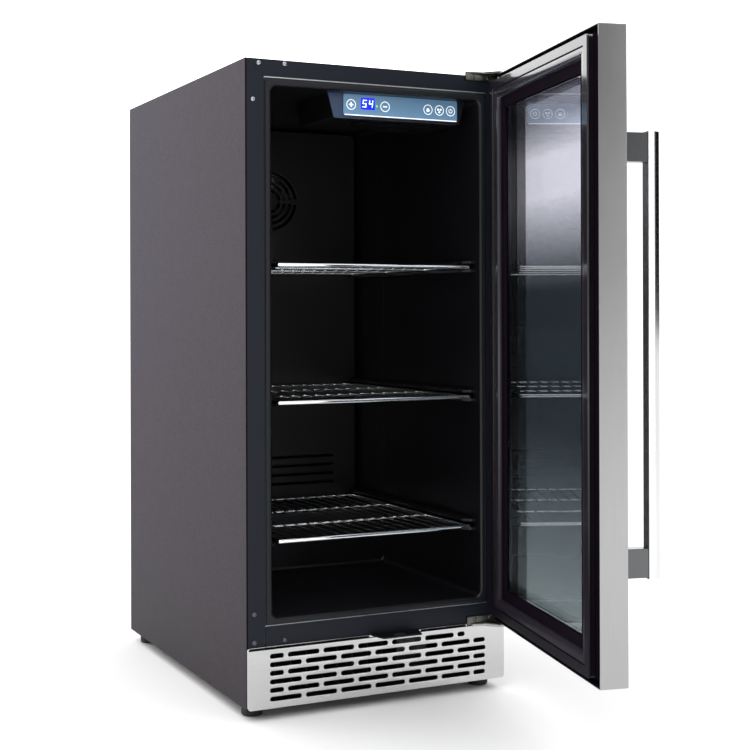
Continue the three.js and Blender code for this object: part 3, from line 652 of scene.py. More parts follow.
def top_panel():
    x, y, z = span("top_panel")
    width = FLANGE_WIDTH - SHEET

    def end(point):
        return x[1] - width * max(0.0, z[1] - SHEET - point.y) / FLANGE_DROP

    bm = bmesh.new()
    path = fillet([(y[0], z[0]), (y[0], z[1], BEND), (y[1], z[1])], closed=False)
    folded_sheet(bm, path, -SHEET, "x", lambda p: -end(p), end)
    add_shell("top_panel", bm)


def lower_cross_panel():
    x, y, z = span("lower_cross_panel")
    bm = bmesh.new()
    low = z[0] - 2.0     # it reaches down behind the grille's edge
    path = fillet([(y[1], low), (y[0], low, 0.4), (y[0], z[1])], closed=False)
    folded_sheet(bm, path, -SHEET, "x", lambda p: x[0] + 0.3, lambda p: x[1] + 0.25)
    add_piece("lower_cross_panel_sheet", bm, "front_paint", ["lower_cross_panel"], bevel=0.3)


def cross_head(bm, centre, radius, face, base, axis="y"):
    """A domed screw head with a cross-shaped drive. It rises from base to face."""
    arm, width = radius * 0.45, radius * 0.15
    quarter = [(width, width), (width, arm), (-width, arm)]
    drive = []
    for _ in range(4):
        drive += [Vector(centre) + Vector(point) for point in quarter]
        quarter = [(-b, a) for a, b in quarter]
    depth = base - face
    floor = face + depth * 0.6
    reach = (min(face, floor), max(face, floor))
    plate(bm, [circle(centre, radius * 0.64, 24), drive], axis, reach, 0.08)
    dome = [(0, 0.6), (0.62, 0.6), (0.65, 0.02), (0.8, 0.12), (0.92, 0.34), (1, 0.75), (1, 1), (0, 1)]
    lathe(bm, [(radius * out, face + depth * along) for out, along in dome], axis, centre, 24)


UPPER_SCREWS = 400    # screws above this height are drawn in a lighter steel


def face_screws():
    for i in range(1, 7):
        node = f"face_screw_{i}"
        x, y, z = span(node)
        bm = bmesh.new()
        cross_head(bm, (middle(x), middle(z)), (x[1] - x[0]) / 2, y[0], -0.05)
        lathe(bm, [(0, -0.1), (1.8, -0.1), (1.8, y[1]), (0, y[1])], "y", (middle(x), middle(z)), 16)
        look = "screw_steel" if z[0] > UPPER_SCREWS else "darker_screw_steel"
        add_piece(node + "_head", bm, "zinc_steel", [node], look=look)


# ---- front grille and lock keeper
SLOT = {"height": 6.0, "length": 44.0, "pitch": 50.2, "rows": 6, "row_pitch": 11.0, "short": 19.0,
        "stagger": 25.0, "from_left": 30.0, "from_top": 9.9}


def grille_slots(left, top):
    """Rows of round-ended slots, staggered like brickwork. left and top are the first slot's."""
    slots = []
    for row in range(SLOT["rows"]):
        high = top - row * SLOT["row_pitch"]
        z = (high - SLOT["height"], high)
        short_first = row % 2 == 0
        start = left + SLOT["stagger"] if short_first else left
        if short_first:
            slots.append(stadium((left, left + SLOT["short"]), z))
        for i in range(5 if short_first else 6):
            x = start + i * SLOT["pitch"]
            slots.append(stadium((x, x + SLOT["length"]), z))
        # The last slot is short at the end of a full row, and by the hinge in the top row.
        last = (276, 276 + (11 if row == 0 else 44)) if short_first else (301, 319)
        slots.append(stadium((left + last[0], left + last[1]), z))
    return slots


def front_grille():
    x, y, z = span("front_grille")
    bracket, _, bracket_z = span("bottom_hinge_bracket")
    keeper, _, keeper_z = span("lock_keeper_plate")
    keeper = grown(keeper, 1)
    notch_z = bracket_z[0] - 0.5
    keeper_low = keeper_z[0] - 0.5
    outline = fillet([
        (x[0], z[0], 4), (x[1], z[0], 4), (x[1], notch_z, 0.5), (bracket[0] - 1, notch_z, 0.5),
        (bracket[0] - 1, z[1], 0.5), (keeper[1], z[1], 0.5), (keeper[1], keeper_low, 0.5),
        (keeper[0], keeper_low, 0.5), (keeper[0], z[1], 0.5), (x[0], z[1], 4),
    ])
    bm = bmesh.new()
    holes = grille_slots(x[0] + SLOT["from_left"], z[1] - SLOT["from_top"])
    plate(bm, [outline, *holes], "y", (y[0], y[0] + 1.2), 0.55)
    path = anticlockwise(outline)
    border = [offset(path, inset) for inset in (0.55, 0, 0.1, 1.3, 1.3)]
    depths = [y[0] + 0.6, y[0] + 0.9, y[1], y[1], y[0] + 1.1]
    loops = [loop_at(bm, line, "y", depth) for line, depth in zip(border, depths)]
    bridge(bm, loops, along=True)
    add_piece("front_grille_plate", bm, "stainless", ["front_grille"], look="stainless_across")


def lock_keeper():
    x, y, z = span("lock_keeper_plate")
    outline = fillet([(x[0], y[1]), (x[0] + 8, y[0], 2), (x[1] - 8, y[0], 2), (x[1], y[1])])
    hole = rounded_rect((middle(x) - 9, middle(x) + 9), (y[0] + 7, y[0] + 13), 2)
    add_plate("lock_keeper_tab", [outline, hole], "z", z, 0.5, "black_plastic",
              ["lock_keeper_plate"], look="liner_plastic")


# ---- inner liner
LINER = {"wall": 2.5, "corner": 10.0, "rim": 8.7, "lip": 2.6, "rib": 4.0}


def inner_liner():
    rim_x, rim_y, rim_z = span("inner_liner")
    half = rim_x[1] - LINER["rim"]
    floor = rim_z[0] + LINER["rim"]
    ceiling = span("control_housing")[2][1] + 0.3
    back = rim_y[1] - LINER["wall"]
    bay = span("machine_compartment_cover")
    step_y = 300.0
    step_z = bay[2][1] + 21.0
    turns = [math.radians(a) for a in (0, 22.5, 45, 67.5, 90)]
    lip = LINER["lip"]
    rows = [(1.9, -8.95, floor), (1.9, -6.3, floor), (0.5, -6.2, floor), (0.1, -6.0, floor)]
    rows += [(0.0, -5.6, floor), (0.0, -lip, floor)]
    rows += [(lip * (1 - math.cos(t)), -lip * (1 - math.sin(t)), floor) for t in turns[1:]]
    rows += [(step_y - 8 + 8 * math.sin(t), 0, floor + 8 * (1 - math.cos(t))) for t in turns]
    rows += [(step_y + 6 * (1 - math.cos(t)), 0, step_z - 6 * (1 - math.sin(t))) for t in turns]
    rows += [(back - 9 * (1 - math.sin(t)), 9 * (1 - math.cos(t)), step_z) for t in turns]
    bm = bmesh.new()
    loops = []
    for y, inset, low in rows:
        corner = max(LINER["corner"] - inset, 1.2) if inset > -5.8 else 3.0
        path = rounded_rect(grown((-half, half), -inset), (low + inset, ceiling - inset), corner)
        loops.append(loop_at(bm, path, "y", y))
    bridge(bm, loops)
    bm.faces.new(loops[-1])
    liner = add_piece("inner_liner_shell", bm, "liner_plastic", ["inner_liner"], smooth=50,
                      look="rim_plastic")
    walls = liner.modifiers.new("walls", "SOLIDIFY")
    walls.thickness = 0.0012
    walls.offset = -1.0
    use_behind(liner, "liner_plastic", 0.3)


def rim_highlight_rods():
    """Light metal rods as painted highlights above and below the liner's rim, and along the lip of its
    floor.
    """
    x, _, z = span("inner_liner")
    edges = [(-0.1, 1.1, z[1] - 0.8, 1.0), (-0.1, 0.7, z[0] + 0.5, 0.6), (17, 0.7, z[0] + 8.0, 0.7)]
    bm = bmesh.new()
    for inset, depth, level, radius in edges:
        rod(bm, [(x[0] + inset, depth, level), (x[1] - inset, depth, level)], radius, 12)
    add_piece("rim_highlight_rods", bm, "aluminium")


def shelf_ribs():
    """Moulded ribs on the liner's side walls that each shelf slides between."""
    half = span("inner_liner")[0][1] - LINER["rim"]
    bm = bmesh.new()
    for i in range(1, 4):
        _, y, z = span(f"wire_shelf_{i}")
        level = z[0] + FRONT_ROD
        for side in (-1, 1):
            for low in (level - 2.8 - LINER["rib"], level + 5):
                path = fillet([
                    (side * (half + 0.6), 13), (side * (half - 8), 14, 5),
                    (side * (half - 17), 24, 6), (side * (half - 17), y[1] + 3),
                    (side * (half + 0.6), y[1] + 3),
                ])
                prism(bm, path, "z", (low, low + LINER["rib"]))
    add_piece("shelf_ribs", bm, "liner_plastic", bevel=0.8)


# ---- control panel
def control_housing():
    x, y, z = span("control_housing")
    bm = bmesh.new()
    outline = fillet([(x[0], z[1]), (x[0] + 9, z[0], 4), (x[1] - 9, z[0], 4), (x[1], z[1])])
    face, _, face_z = span("control_panel_face")
    window = rounded_rect(grown(face, 0.3), grown(face_z, 0.3), 3.3)
    plate(bm, [outline, window], "y", (y[0], y[0] + 2), 0.5)
    prism(bm, offset(anticlockwise(outline), 0.2), "y", (y[0] + 1.9, y[1]))
    cover = add_piece("control_housing_cover", bm, "black_plastic", ["control_housing"], bevel=0.5,
                      look="slate_plastic")
    use_behind(cover, "liner_plastic", y[0] + 1.9)


def icon_ring(bm, centre, y, radius=7.0):
    plate(bm, [circle(centre, radius, 36), circle(centre, radius - 0.9, 36)], "y", y, 0.05)


def icon_bar(bm, centre, y, a, b):
    x, z = centre
    plate(bm, [rounded_rect((x - a, x + a), (z - b, z + b), min(a, b) * 0.7, 3)], "y", y, 0.05)


def control_icons():
    """Printed key symbols: plus, minus, lock, fan and power, each in a ring."""
    _, face_y, z = span("control_panel_face")
    y = (face_y[0] - 0.16, face_y[0] - 0.02)
    centre_z = middle(z)
    plus, minus, lock, fan, power = ((at, centre_z) for at in (-33.2, 17.4, 83.2, 101.0, 118.6))
    bm = bmesh.new()
    for centre in (plus, minus, lock, fan, power):
        icon_ring(bm, centre, y)
    icon_bar(bm, plus, y, 3.2, 0.9)
    icon_bar(bm, (plus[0], centre_z + 2.2), y, 0.9, 1.1)
    icon_bar(bm, (plus[0], centre_z - 2.2), y, 0.9, 1.1)
    icon_bar(bm, minus, y, 3.0, 0.8)
    icon_bar(bm, (lock[0], centre_z - 1.2), y, 2.3, 1.7)
    plate(bm, [arch(lock[0], centre_z + 0.4, 1.9, 1.2, 0, 180)], "y", y, 0.05)
    for turn in (30, 150, 270):
        at = Vector((math.cos(math.radians(turn)), math.sin(math.radians(turn)))) * 2.3
        plate(bm, [circle((fan[0] + at.x, centre_z + at.y), 1.5, 18)], "y", y, 0.05)
    icon_bar(bm, (power[0], centre_z + 2.2), y, 0.5, 1.4)
    plate(bm, [arch(power[0], centre_z, 3.0, 2.1, 125, 415)], "y", y, 0.05)
    add_piece("control_icons", bm, "control_face", look="lit_print_and_highlight")


def arch(x, z, outer, inner, start, end, steps=18):
    """A curved band between two angles."""
    turns = [math.radians(start + (end - start) * i / steps) for i in range(steps + 1)]
    out = [Vector((x + outer * math.cos(t), z + outer * math.sin(t))) for t in turns]
    back = [Vector((x + inner * math.cos(t), z + inner * math.sin(t))) for t in reversed(turns)]
    return out + back


def control_face():
    x, y, z = span("control_panel_face")
    window_x, _, window_z = span("display_window")
    add_plate("control_face_film", [rounded_rect(x, z, 3)], "y", y, 0.3, "control_face",
              ["control_panel_face"])
    add_plate("display_screen", [rounded_rect(window_x, window_z, 1)], "y",
              (y[0] - 0.1, y[0] - 0.01), 0.04, "display", ["display_window"])
    bm = bmesh.new()
    for digit, at in (("5", 0.27), ("4", 0.72)):
        centre = window_x[0] + (window_x[1] - window_x[0]) * at
        seven_segments(bm, digit, centre, middle(window_z), (y[0] - 0.24, y[0] - 0.11))
    add_piece("display_digits", bm, "display", look="digits")
    spot = circle((window_x[1] + 3, middle(window_z) - 2.5), 1.1, 20)
    add_plate("display_lamp", [spot], "y", (y[0] - 0.16, y[0] - 0.02), 0.05, "display", look="lamp")
    bm = bmesh.new()
    # painted highlight: a glowing white line along the face's foot, where its edge catches the light
    rod(bm, [(x[0] + 1.5, y[0] - 0.2, z[0] + 0.5), (x[1] - 1.5, y[0] - 0.2, z[0] + 0.5)], 0.7)
    add_piece("control_face_edge_highlight", bm, "control_face", look="lit_print_and_highlight")


SEGMENTS = {"5": "afgcd", "4": "fgbc"}   # lit bars of a seven-bar digit, a at the top


def seven_segments(bm, digit, x, z, y):
    half_width, half_height, line = 2.3, 4.4, 0.62
    bars = {
        "a": ((-half_width, half_width), (half_height, half_height)),
        "g": ((-half_width, half_width), (0, 0)),
        "d": ((-half_width, half_width), (-half_height, -half_height)),
        "f": ((-half_width, -half_width), (0, half_height)),
        "b": ((half_width, half_width), (0, half_height)),
        "c": ((half_width, half_width), (-half_height, 0)),
    }
    for name in SEGMENTS[digit]:
        a, b = bars[name]
        path = stadium(grown((x + a[0], x + a[1]), line), grown((z + b[0], z + b[1]), line), 4)
        slanted = [Vector((p.x + (p.y - z) * 0.12, p.y)) for p in path]
        plate(bm, [slanted], "y", y, 0.05)


# ---- door
GLASS_COVER = 10.0    # how far the frame reaches over the glass


def door_frame():
    """Folded stainless skin: a front with a window, and four sides turned back."""
    x, y, z = span("door_frame")
    border = span("outer_glass")[0][0] - x[0] + GLASS_COVER
    bm = bmesh.new()
    front, back, skin = y[0], y[1], 1.2
    turned_in = span("outer_glass")[1][0] - 0.3
    outer = fillet([(0, back - 0.3), (0, front, 1.6), (border, front, 1.4), (border, turned_in)],
                   closed=False, steps=4)
    outer = [Vector((0.35, back))] + outer
    inner = fillet([(border - skin, turned_in), (border - skin, front + skin, 0.2),
                    (skin, front + skin, 0.4), (skin, back)], closed=False, steps=3)
    ring(bm, x, z, outer + inner, 1.6)
    add_piece("door_skin", bm, "stainless", ["door_frame"], "door")


def door_inner_frame():
    """Moulded frame: a groove by the seal, a rounded bead, and a flat border round the glass."""
    x, y, z = span("door_inner_frame")
    skin_x, skin_y, _ = span("door_frame")
    back = skin_y[1]
    border = span("outer_glass")[0][0] - skin_x[0] + GLASS_COVER - (x[0] - skin_x[0])
    glass_back = span("inner_glass")[1][1]
    seal = span("door_gasket")[0][0] - x[0]
    bead, bead_width, shoulder = seal + 12.2, 13.0, back + 2.4
    turns = [math.radians(degrees) for degrees in range(8, 90, 9)]
    arc = [(bead + bead_width * math.sin(t) ** 0.6, shoulder + (y[1] - shoulder) * math.cos(t) ** 0.6)
           for t in turns]
    section = fillet([
        (0.2, y[0] + 6), (0.2, back, 0.4), (1.4, back, 0.4), (1.4, back - 8), (seal - 0.6, back - 8),
        (seal - 0.6, back), (bead, back), (bead, y[1], 0.6), *arc, (bead + bead_width, back + 2.2, 0.4),
        (border, back + 2, 0.8), (border, glass_back + 0.3), (border - 9.5, glass_back + 0.3),
        (border - 9.5, y[0]), (2, y[0]),
    ])
    bm = bmesh.new()
    ring(bm, x, z, section, 3)
    made = add_piece("door_liner_frame", bm, "black_plastic", ["door_inner_frame"], "door",
                     smooth=45, look="frame_black_and_fold_shade")
    use_behind(made, "bead_plastic", back + 2.3, DOOR)


def door_gasket():
    """Magnetic seal: a flat face on a bellows with three folds."""
    x, y, z = span("door_gasket")
    front, back = y[1], y[0]
    width = 12.0
    folds = []
    for k in range(3):
        low = back + 0.3 + k * 2.2
        folds += [(3.2, low), (0.2, low + 1.1)]
    face = fillet([(2.6, front - 2.6), (0, front - 2.4, 0.5), (0, front, 0.8),
                   (width, front, 0.8), (width, front - 2.4, 0.5), (width - 2, front - 2.6)],
                  closed=False, steps=3)
    section = [Vector(p) for p in folds] + face + [Vector((width - 1.4, back)), Vector((3, back))]
    bm = bmesh.new()
    ring(bm, x, z, section, 3)
    add_piece("door_seal", bm, "seal_rubber", ["door_gasket"], "door", smooth=30)


def glass(node):
    x, y, z = span(node)
    add_plate(node + "_pane", [rounded_rect(x, z, 2)], "y", y, 0.4, "tinted_glass", [node], "door")


def glass_spacer():
    x, y, z = span("glass_spacer")
    depth = y[1] - y[0]
    section = [(0, y[0]), (9, y[0]), (9, y[0] + depth * 0.3), (8, y[0] + depth * 0.36),
               (8, y[1] - depth * 0.36), (9, y[1] - depth * 0.3), (9, y[1]), (0, y[1])]
    bm = bmesh.new()
    ring(bm, x, z, section, 2)
    add_piece("glass_spacer_bar", bm, "aluminium", ["glass_spacer"], "door", look="black_plastic")


def handle():
    """A bar with swelling sides and wide facets to a narrow front, on two square posts."""
    x, y, z = span("handle_bar")
    half = [(8.0, 0.0), (7.95, 1.8), (7.7, 4.2), (7.4, 6.8), (7.0, 9.4), (4.2, 14.6), (2.8, 16.0)]
    centre = middle(x)
    left = [(centre - across, y[1] - along) for across, along in half]
    right = [(centre + across, y[1] - along) for across, along in reversed(half)]
    bm = bmesh.new()
    plate(bm, [fillet([*left, *right])], "z", z, 0.4)
    bar = add_piece("handle_bar_body", bm, "stainless", ["handle_bar"], "door", smooth=20,
                    look="handle_steel")
    # painted shade: the bar's back, towards the door, is a darker steel
    use_behind(bar, "dark_steel_and_handle_shade", y[1] - 0.5, DOOR)
    for node in ("handle_post_upper", "handle_post_lower"):
        x, y, z = span(node)
        section = rounded_rect(grown(x, 0.8), y, 0.8, 4)
        add_plate(node + "_body", [section], "z", z, 0.6, "stainless", [node], "door", "dark_steel_and_handle_shade")


# ---- shelves
FRONT_ROD = 3.0       # radius of a shelf's front rod


def wire_shelf(node):
    x, y, z = span(node)
    level = z[0] + FRONT_ROD
    front, back = y[0] + FRONT_ROD, y[1] - 2.5
    side = x[1] - 2.5
    bm = bmesh.new()
    rod(bm, [(x[0], front, level), (x[1], front, level)], FRONT_ROD, 16, domed=True)
    rod(bm, [(x[0], back, level), (x[1], back, level)], 2.5, 14, domed=True)
    for at in (-side, side):
        rod(bm, [(at, front, level), (at, back, level)], 2.5, 14)
    for share in (1 / 3, 2 / 3):
        at = front + (back - front) * share
        rod(bm, [(-side, at, level - 0.4), (side, at, level - 0.4)], 1.8, 12)
    wires = 15
    for i in range(1, wires + 1):
        at = -side + 2 * side * i / (wires + 1)
        high = level + 1.8
        start = [(at, front - 1.4, level + 0.6), (at, front + 0.4, level + 1.75)]
        rod(bm, [*start, (at, front + 3, high), (at, back, high)], 1.2, 10)
    add_piece(node + "_wires", bm, "chrome", [node], node, smooth=50)


# ---- hinges
def hinge_bracket(node, slot, top):
    """A leaf screwed to the front and one that reaches out to the pin."""
    x, y, z = span(node)
    pin_x, pin_y, _ = span("top_hinge_pin")
    leaf_z = (z[1] - 3, z[1]) if top else (z[0], z[0] + 3)
    pin = (middle(pin_x), middle(pin_y))
    outline = fillet([
        (x[0] + 2, -0.1), (x[0] + 6, -4, 2), (pin[0] - 22, -8, 3), (pin[0] - 12, y[0] + 6, 3),
        (pin[0] - 8, y[0], 5), (x[1], y[0], 5), (x[1], -0.1),
    ])
    bm = bmesh.new()
    plate(bm, [outline, circle(pin, 2.9, 24)], "z", leaf_z, 0.7)
    plate(bm, [rounded_rect((x[0], x[1] - 5), z, 1.5)], "y", (-3, -0.1), 0.6)
    for at in (x[0] + 12, x[0] + 36):
        cross_head(bm, (at, middle(z) + (-1.5 if top else 1.5)), 3.0, -4.2, -2.9)
    add_piece(node + "_leaf", bm, slot, [node], look="zinc_steel")


def hinge_rim():
    """The bright rolled edge of the lower bracket's leaf."""
    x, y, z = span("bottom_hinge_bracket")
    pin = middle(span("bottom_hinge_pin")[0])
    edge = fillet([(x[0] + 7, -4.8), (pin - 22, -8.8, 3), (pin - 12, y[0] + 5.2, 3),
                   (pin - 8, y[0] + 0.9, 5), (x[1] - 1, y[0] + 0.9)], closed=False)
    bm = bmesh.new()
    rod(bm, [(point.x, point.y, z[0] + 0.4) for point in edge], 1.8, 12)
    add_piece("bottom_hinge_rim", bm, "aluminium")


def hinge_pins():
    for node in ("top_hinge_pin", "bottom_hinge_pin"):
        x, y, z = span(node)
        radius = (x[1] - x[0]) / 2
        bm = bmesh.new()
        lathe(bm, [(0, z[0]), (radius - 0.5, z[0]), (radius, z[0] + 0.5), (radius, z[1] - 0.5),
                   (radius - 0.5, z[1]), (0, z[1])], "z", (middle(x), middle(y)), 24)
        add_piece(node + "_turned", bm, "chrome", [node])


# ---- feet and back
def foot(node):
    x, y, z = span(node)
    radius = (x[1] - x[0]) / 2
    bm = bmesh.new()
    profile = [(0, 0), (radius - 2, 0), (radius - 0.6, 0.6), (radius, 2), (radius, 10),
               (radius - 0.6, 11.4), (radius - 2, 12), (7, 12), (7, 15), (4, 15)]
    threads = int((z[1] - 15) / 1.5)
    for k in range(threads):
        low = 15 + 1.5 * k
        profile += [(3.4, low + 0.3), (4, low + 1.1)]
    profile += [(4, z[1]), (0, z[1])]
    lathe(bm, profile, "z", (middle(x), middle(y)), 32)
    add_piece(node + "_pad", bm, "foot_rubber", [node], node)


def rear_panel():
    x, y, z = span("rear_panel")
    bm = bmesh.new()
    plate(bm, [rounded_rect(x, z, 2)], "y", y, 0.3)
    for at in (-60, 60):
        plate(bm, [stadium((at - 5, at + 5), (z[0] + 60, z[1] - 60))], "y",
              (y[1] - 0.9, y[1] + 0.1), 0.4)
    add_piece("rear_panel_sheet", bm, "casing_paint", ["rear_panel"])


def rear_vent_cover():
    x, y, z = span("rear_vent_cover")
    inlet_x, _, inlet_z = span("power_inlet")
    holes = [rounded_rect(grown(inlet_x, 0.2), grown(inlet_z, 0.2), 1)]
    for row in ((45, 85), (95, 135), (145, 180)):
        for i in range(7):
            holes.append(stadium((-150 + 19 * i, -144 + 19 * i), row))
    add_plate("rear_vent_sheet", [rounded_rect(x, z, 3), *holes], "y", (y[0], y[1] - 1), 0.3,
              "front_paint", ["rear_vent_cover"])
    bm = bmesh.new()
    for at_x in (x[0] + 8, x[1] - 8):
        for at_z in (z[0] + 12, z[1] - 8):
            cross_head(bm, (at_x, at_z), 3.2, y[1] - 0.05, y[1] - 1.4)
    add_piece("rear_screws", bm, "zinc_steel")


def power_inlet():
    """A three-pin inlet for a detachable lead: a rim, a socket with cut corners, three pins."""
    x, y, z = span("power_inlet")
    socket_x, socket_z = grown(x, -9), grown(z, -9)
    socket = fillet([
        (socket_x[0], socket_z[0], 2), (socket_x[1], socket_z[0], 2),
        (socket_x[1], socket_z[1] - 6, 2), (socket_x[1] - 6, socket_z[1], 2),
        (socket_x[0] + 6, socket_z[1], 2), (socket_x[0], socket_z[1] - 6, 2),
    ])
    bm = bmesh.new()
    plate(bm, [rounded_rect(x, z, 2.5), socket], "y", (y[0] + 6, y[1]), 0.6)
    plate(bm, [rounded_rect(grown(x, -1), grown(z, -1), 2)], "y", (y[0], y[0] + 6.2), 0.4)
    add_piece("power_inlet_body", bm, "black_plastic", ["power_inlet"])
    bm = bmesh.new()
    for at, lift_by in ((-7, -2), (0, 3), (7, -2)):
        pin = rounded_rect((middle(x) + at - 1, middle(x) + at + 1),
                           (middle(z) + lift_by - 2, middle(z) + lift_by + 2), 0.5)
        plate(bm, [pin], "y", (y[0] + 6, y[1] - 4), 0.4)
    add_piece("power_inlet_pins", bm, "chrome")


def evaporator_cover():
    """Louvred cover over the cooling coil, with a round fan grille of concentric slots."""
    x, y, z = span("evaporator_cover")
    fan_x, _, fan_z = span("evaporator_fan")
    centre = (middle(fan_x), middle(fan_z))
    holes = []
    for radius in (14, 23, 32, 41):
        for quarter in range(4):
            start = quarter * 90 + 6
            holes.append(arch(*centre, radius + 5, radius, start, start + 78, 14))
    for i in range(4):
        low = z[0] + 26 + i * 14
        holes.append(stadium((-110, 110), (low, low + 4)))
    add_plate("evaporator_cover_panel", [rounded_rect(x, z, 8), *holes], "y", y, 0.6,
              "liner_plastic", ["evaporator_cover"])


def light_cover():
    x, y, z = span("light_lens")
    add_plate("light_cover", [rounded_rect(x, y, 4)], "z", z, 0.8, "light_lens", ["light_lens"])


# ---- hidden machinery
KEPT = {
    "zinc_steel": ["base_tray", "machine_compartment_cover", "compressor_base_plate"],
    "foam": ["foam_insulation"],
    "circuit_board": ["control_board"],
    "aluminium": ["evaporator_coil"],
    "black_plastic": ["evaporator_fan_motor", "condenser_fan_shroud", "condenser_fan_motor"],
    "condenser_black": ["condenser_coil"],
    "copper": ["discharge_pipe", "suction_pipe", "filter_drier"],
    "tray_plastic": ["drain_tray"],
}


def finish_kept_nodes():
    """CAD nodes whose own shape is right keep it and only take a material."""
    for slot, nodes in KEPT.items():
        for node in nodes:
            NODES[node].data.materials.clear()
            NODES[node].data.materials.append(MATERIALS[slot])


def compressor():
    x, y, z = span("compressor")
    centre = (middle(x), middle(y))
    radius = (x[1] - x[0]) / 2 - 4
    low, height = z[0], z[1] - z[0]
    seam = low + height * 0.55
    corners = [(0, low), (radius * 0.7, low, 8), (radius, low + 28, 20), (radius, seam - 3),
               (radius + 4, seam - 3, 0.8), (radius + 4, seam + 3, 0.8), (radius, seam + 3),
               (radius, z[1] - 30, 24), (radius * 0.6, z[1] - 2, 18), (0, z[1])]
    bm = bmesh.new()
    lathe(bm, fillet(corners, closed=False), "z", centre, 48)
    add_piece("compressor_shell", bm, "compressor_paint", ["compressor"])


def fan(node):
    """A hub and five swept blades that thin out towards their tips."""
    x, y, z = span(node)
    centre = Vector((middle(x), middle(y), middle(z)))
    radius = (x[1] - x[0]) / 2 - 0.5
    hub = radius * 0.33
    depth = (y[1] - y[0]) / 2
    bm = bmesh.new()
    lathe(bm, fillet([(0, centre.y - depth * 0.8), (hub, centre.y - depth * 0.8, 2.5),
                      (hub, centre.y + depth * 0.8, 1), (0, centre.y + depth * 0.8)],
                     closed=False), "y", (centre.x, centre.z), 32)
    for blade in range(5):
        rows = []
        for side in (-0.5, 0.5):
            for i in range(7):
                share = i / 6
                reach = hub * 0.85 + (radius - hub * 0.85) * share
                row = []
                for k in range(7):
                    chord = k / 6 - 0.5
                    turn = 2 * math.pi * blade / 5 + chord * (0.75 + 0.25 * share) + share * 0.25
                    along = chord * depth * 1.3 * (1 - 0.2 * share) + side * 1.4
                    row.append(bm.verts.new((centre.x + reach * math.cos(turn), centre.y + along,
                                             centre.z + reach * math.sin(turn))))
                rows.append(row)
        front, back = rows[:7], rows[7:]
        bridge(bm, front, around=False)
        bridge(bm, back, around=False)
        border = edge_of(front), edge_of(back)
        bridge(bm, list(border))
    add_piece(node + "_rotor", bm, "black_plastic", [node], node, smooth=50)


def edge_of(rows):
    """The vertices round the outside of a grid, in order."""
    right = [row[-1] for row in rows[1:-1]]
    left = [row[0] for row in rows[-2:0:-1]]
    return rows[0] + right + rows[-1][::-1] + left


# ---- stage
def studio():
    scene = bpy.context.scene
    scene.view_settings.view_transform = "Standard"
    bm = bmesh.new()
    bmesh.ops.create_grid(bm, x_segments=2, y_segments=2, size=30)
    mesh = bpy.data.meshes.new("floor")
    bm.to_mesh(mesh)
    bm.free()
    floor = bpy.data.objects.new("floor", mesh)
    floor.location.z = -0.0005
    pale = Finish("floor_paper", srgb(250, 250, 250), 0.9)
    pale.paint(pale.mix(pale.noise(3), srgb(248, 248, 248), srgb(252, 252, 252)))
    mesh.materials.append(MATERIALS["floor_paper"])
    scene.collection.objects.link(floor)
    sky()
    area_light("key", (-1.6, -2.2, 2.6), 30, 2.0, 2.0)
    area_light("strip", (1.5, -3.0, 0.95), 14, 1.0, 1.8)


# The sky's brightness at heights from the horizon, 0, to overhead, 1.
SKY_BEHIND = [(0.0, 1.25), (0.12, 1.3), (0.17, 2.6), (0.4, 1.6), (1.0, 1.8)]
SKY_FRONT = [(0.0, 0.5), (0.2, 0.25), (0.4, 0.2), (0.6, 1.0), (1.0, 1.8)]
SKY_RIGHT = [(0.0, 0.005), (0.2, 0.005), (0.35, 0.3), (0.6, 1.0), (1.0, 1.8)]


def sky():
    """White all round and above: brightest behind, and dark low down in front."""
    world = bpy.data.worlds.new("studio")
    bpy.context.scene.world = world
    world.use_nodes = True
    made = Nodes(world.node_tree, "Generated")
    behind, front, right = [sky_ramp(made, stops) for stops in (SKY_BEHIND, SKY_FRONT, SKY_RIGHT)]
    front = made.mix(made.height("X", 0.74, 0.84), front, right)
    level = made.mix(made.height("Y", 0.15, -0.06), behind, front)
    made.tree.links.new(level, made.tree.nodes["Background"].inputs["Color"])


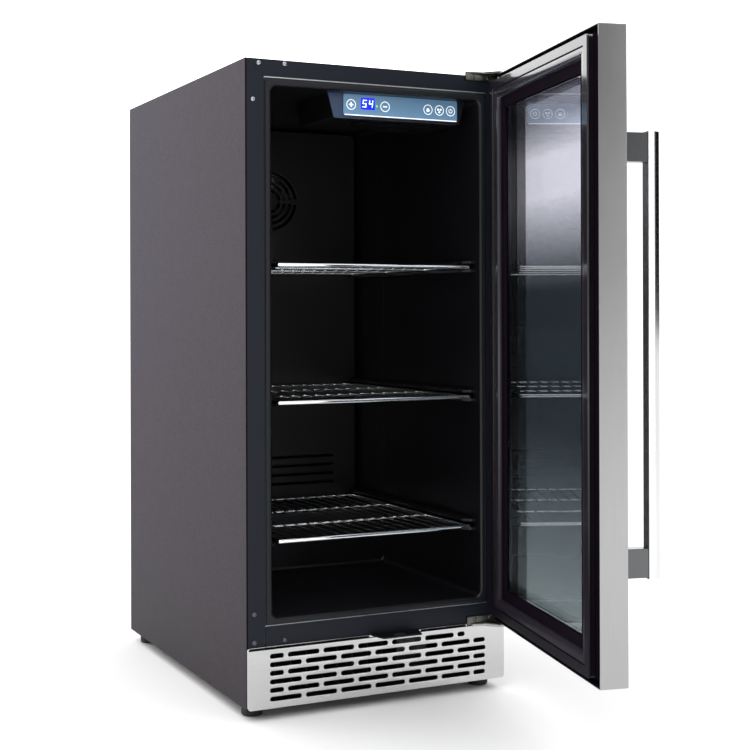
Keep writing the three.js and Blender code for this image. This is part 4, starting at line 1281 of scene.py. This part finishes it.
def sky_ramp(made, stops):
    ramp = made.tree.nodes.new("ShaderNodeValToRGB")
    elements = ramp.color_ramp.elements
    while len(elements) < len(stops):
        elements.new(0.5)
    for element, (height, level) in zip(elements, stops):
        element.position = height
        element.color = (level, level, level, 1)
    made.tree.links.new(made.part("Z"), ramp.inputs["Fac"])
    return ramp.outputs["Color"]


LIT_POINT = Vector((0, 0, 0.45))   # what the lights point at, in metres


def area_light(name, place_m, power, width, height):
    data = bpy.data.lights.new(name, "AREA")
    data.energy = power
    data.shape = "RECTANGLE"
    data.size = width
    data.size_y = height
    light = bpy.data.objects.new(name, data)
    light.location = place_m
    aim = LIT_POINT - light.location
    light.rotation_euler = aim.to_track_quat("-Z", "Y").to_euler()
    bpy.context.scene.collection.objects.link(light)


CAMERA = {"at": (-833.5, -1684.0, 526.1), "heading": -26.15, "roll": -0.0028, "lens": 67.516,
          "shift": -0.0862}


def camera():
    data = bpy.data.cameras.new("camera")
    data.lens = CAMERA["lens"]
    data.shift_y = CAMERA["shift"]
    data.clip_end = 100
    view = bpy.data.objects.new("camera", data)
    turn = Matrix.Rotation(math.radians(CAMERA["heading"]), 4, "Z")
    level = Matrix.Rotation(math.radians(90), 4, "X")
    roll = Matrix.Rotation(CAMERA["roll"], 4, "Z")
    view.matrix_world = Matrix.Translation(CABINET @ Vector(CAMERA["at"])) @ turn @ level @ roll
    bpy.context.scene.collection.objects.link(view)
    bpy.context.scene.camera = view


# ---- build
def build():
    side_panel("left_side_panel", -1)
    side_panel("right_side_panel", 1)
    for part in (top_panel, lower_cross_panel, face_screws, front_grille, lock_keeper, inner_liner,
                 rim_highlight_rods, shelf_ribs, evaporator_cover, control_housing, control_face,
                 control_icons, light_cover, rear_panel, rear_vent_cover, power_inlet, compressor):
        part()
    for i in range(1, 4):
        wire_shelf(f"wire_shelf_{i}")
    for corner in ("front_left", "front_right", "rear_left", "rear_right"):
        foot("foot_" + corner)
    fan("evaporator_fan")
    fan("condenser_fan")
    for part in (door_frame, door_inner_frame, door_gasket):
        part()
    glass("outer_glass")
    glass("inner_glass")
    glass_spacer()
    handle()
    hinge_bracket("top_hinge_bracket", "zinc_steel", True)
    hinge_bracket("bottom_hinge_bracket", "chrome", False)
    hinge_rim()
    hinge_pins()


camera()
studio()
build()
finish_kept_nodes()
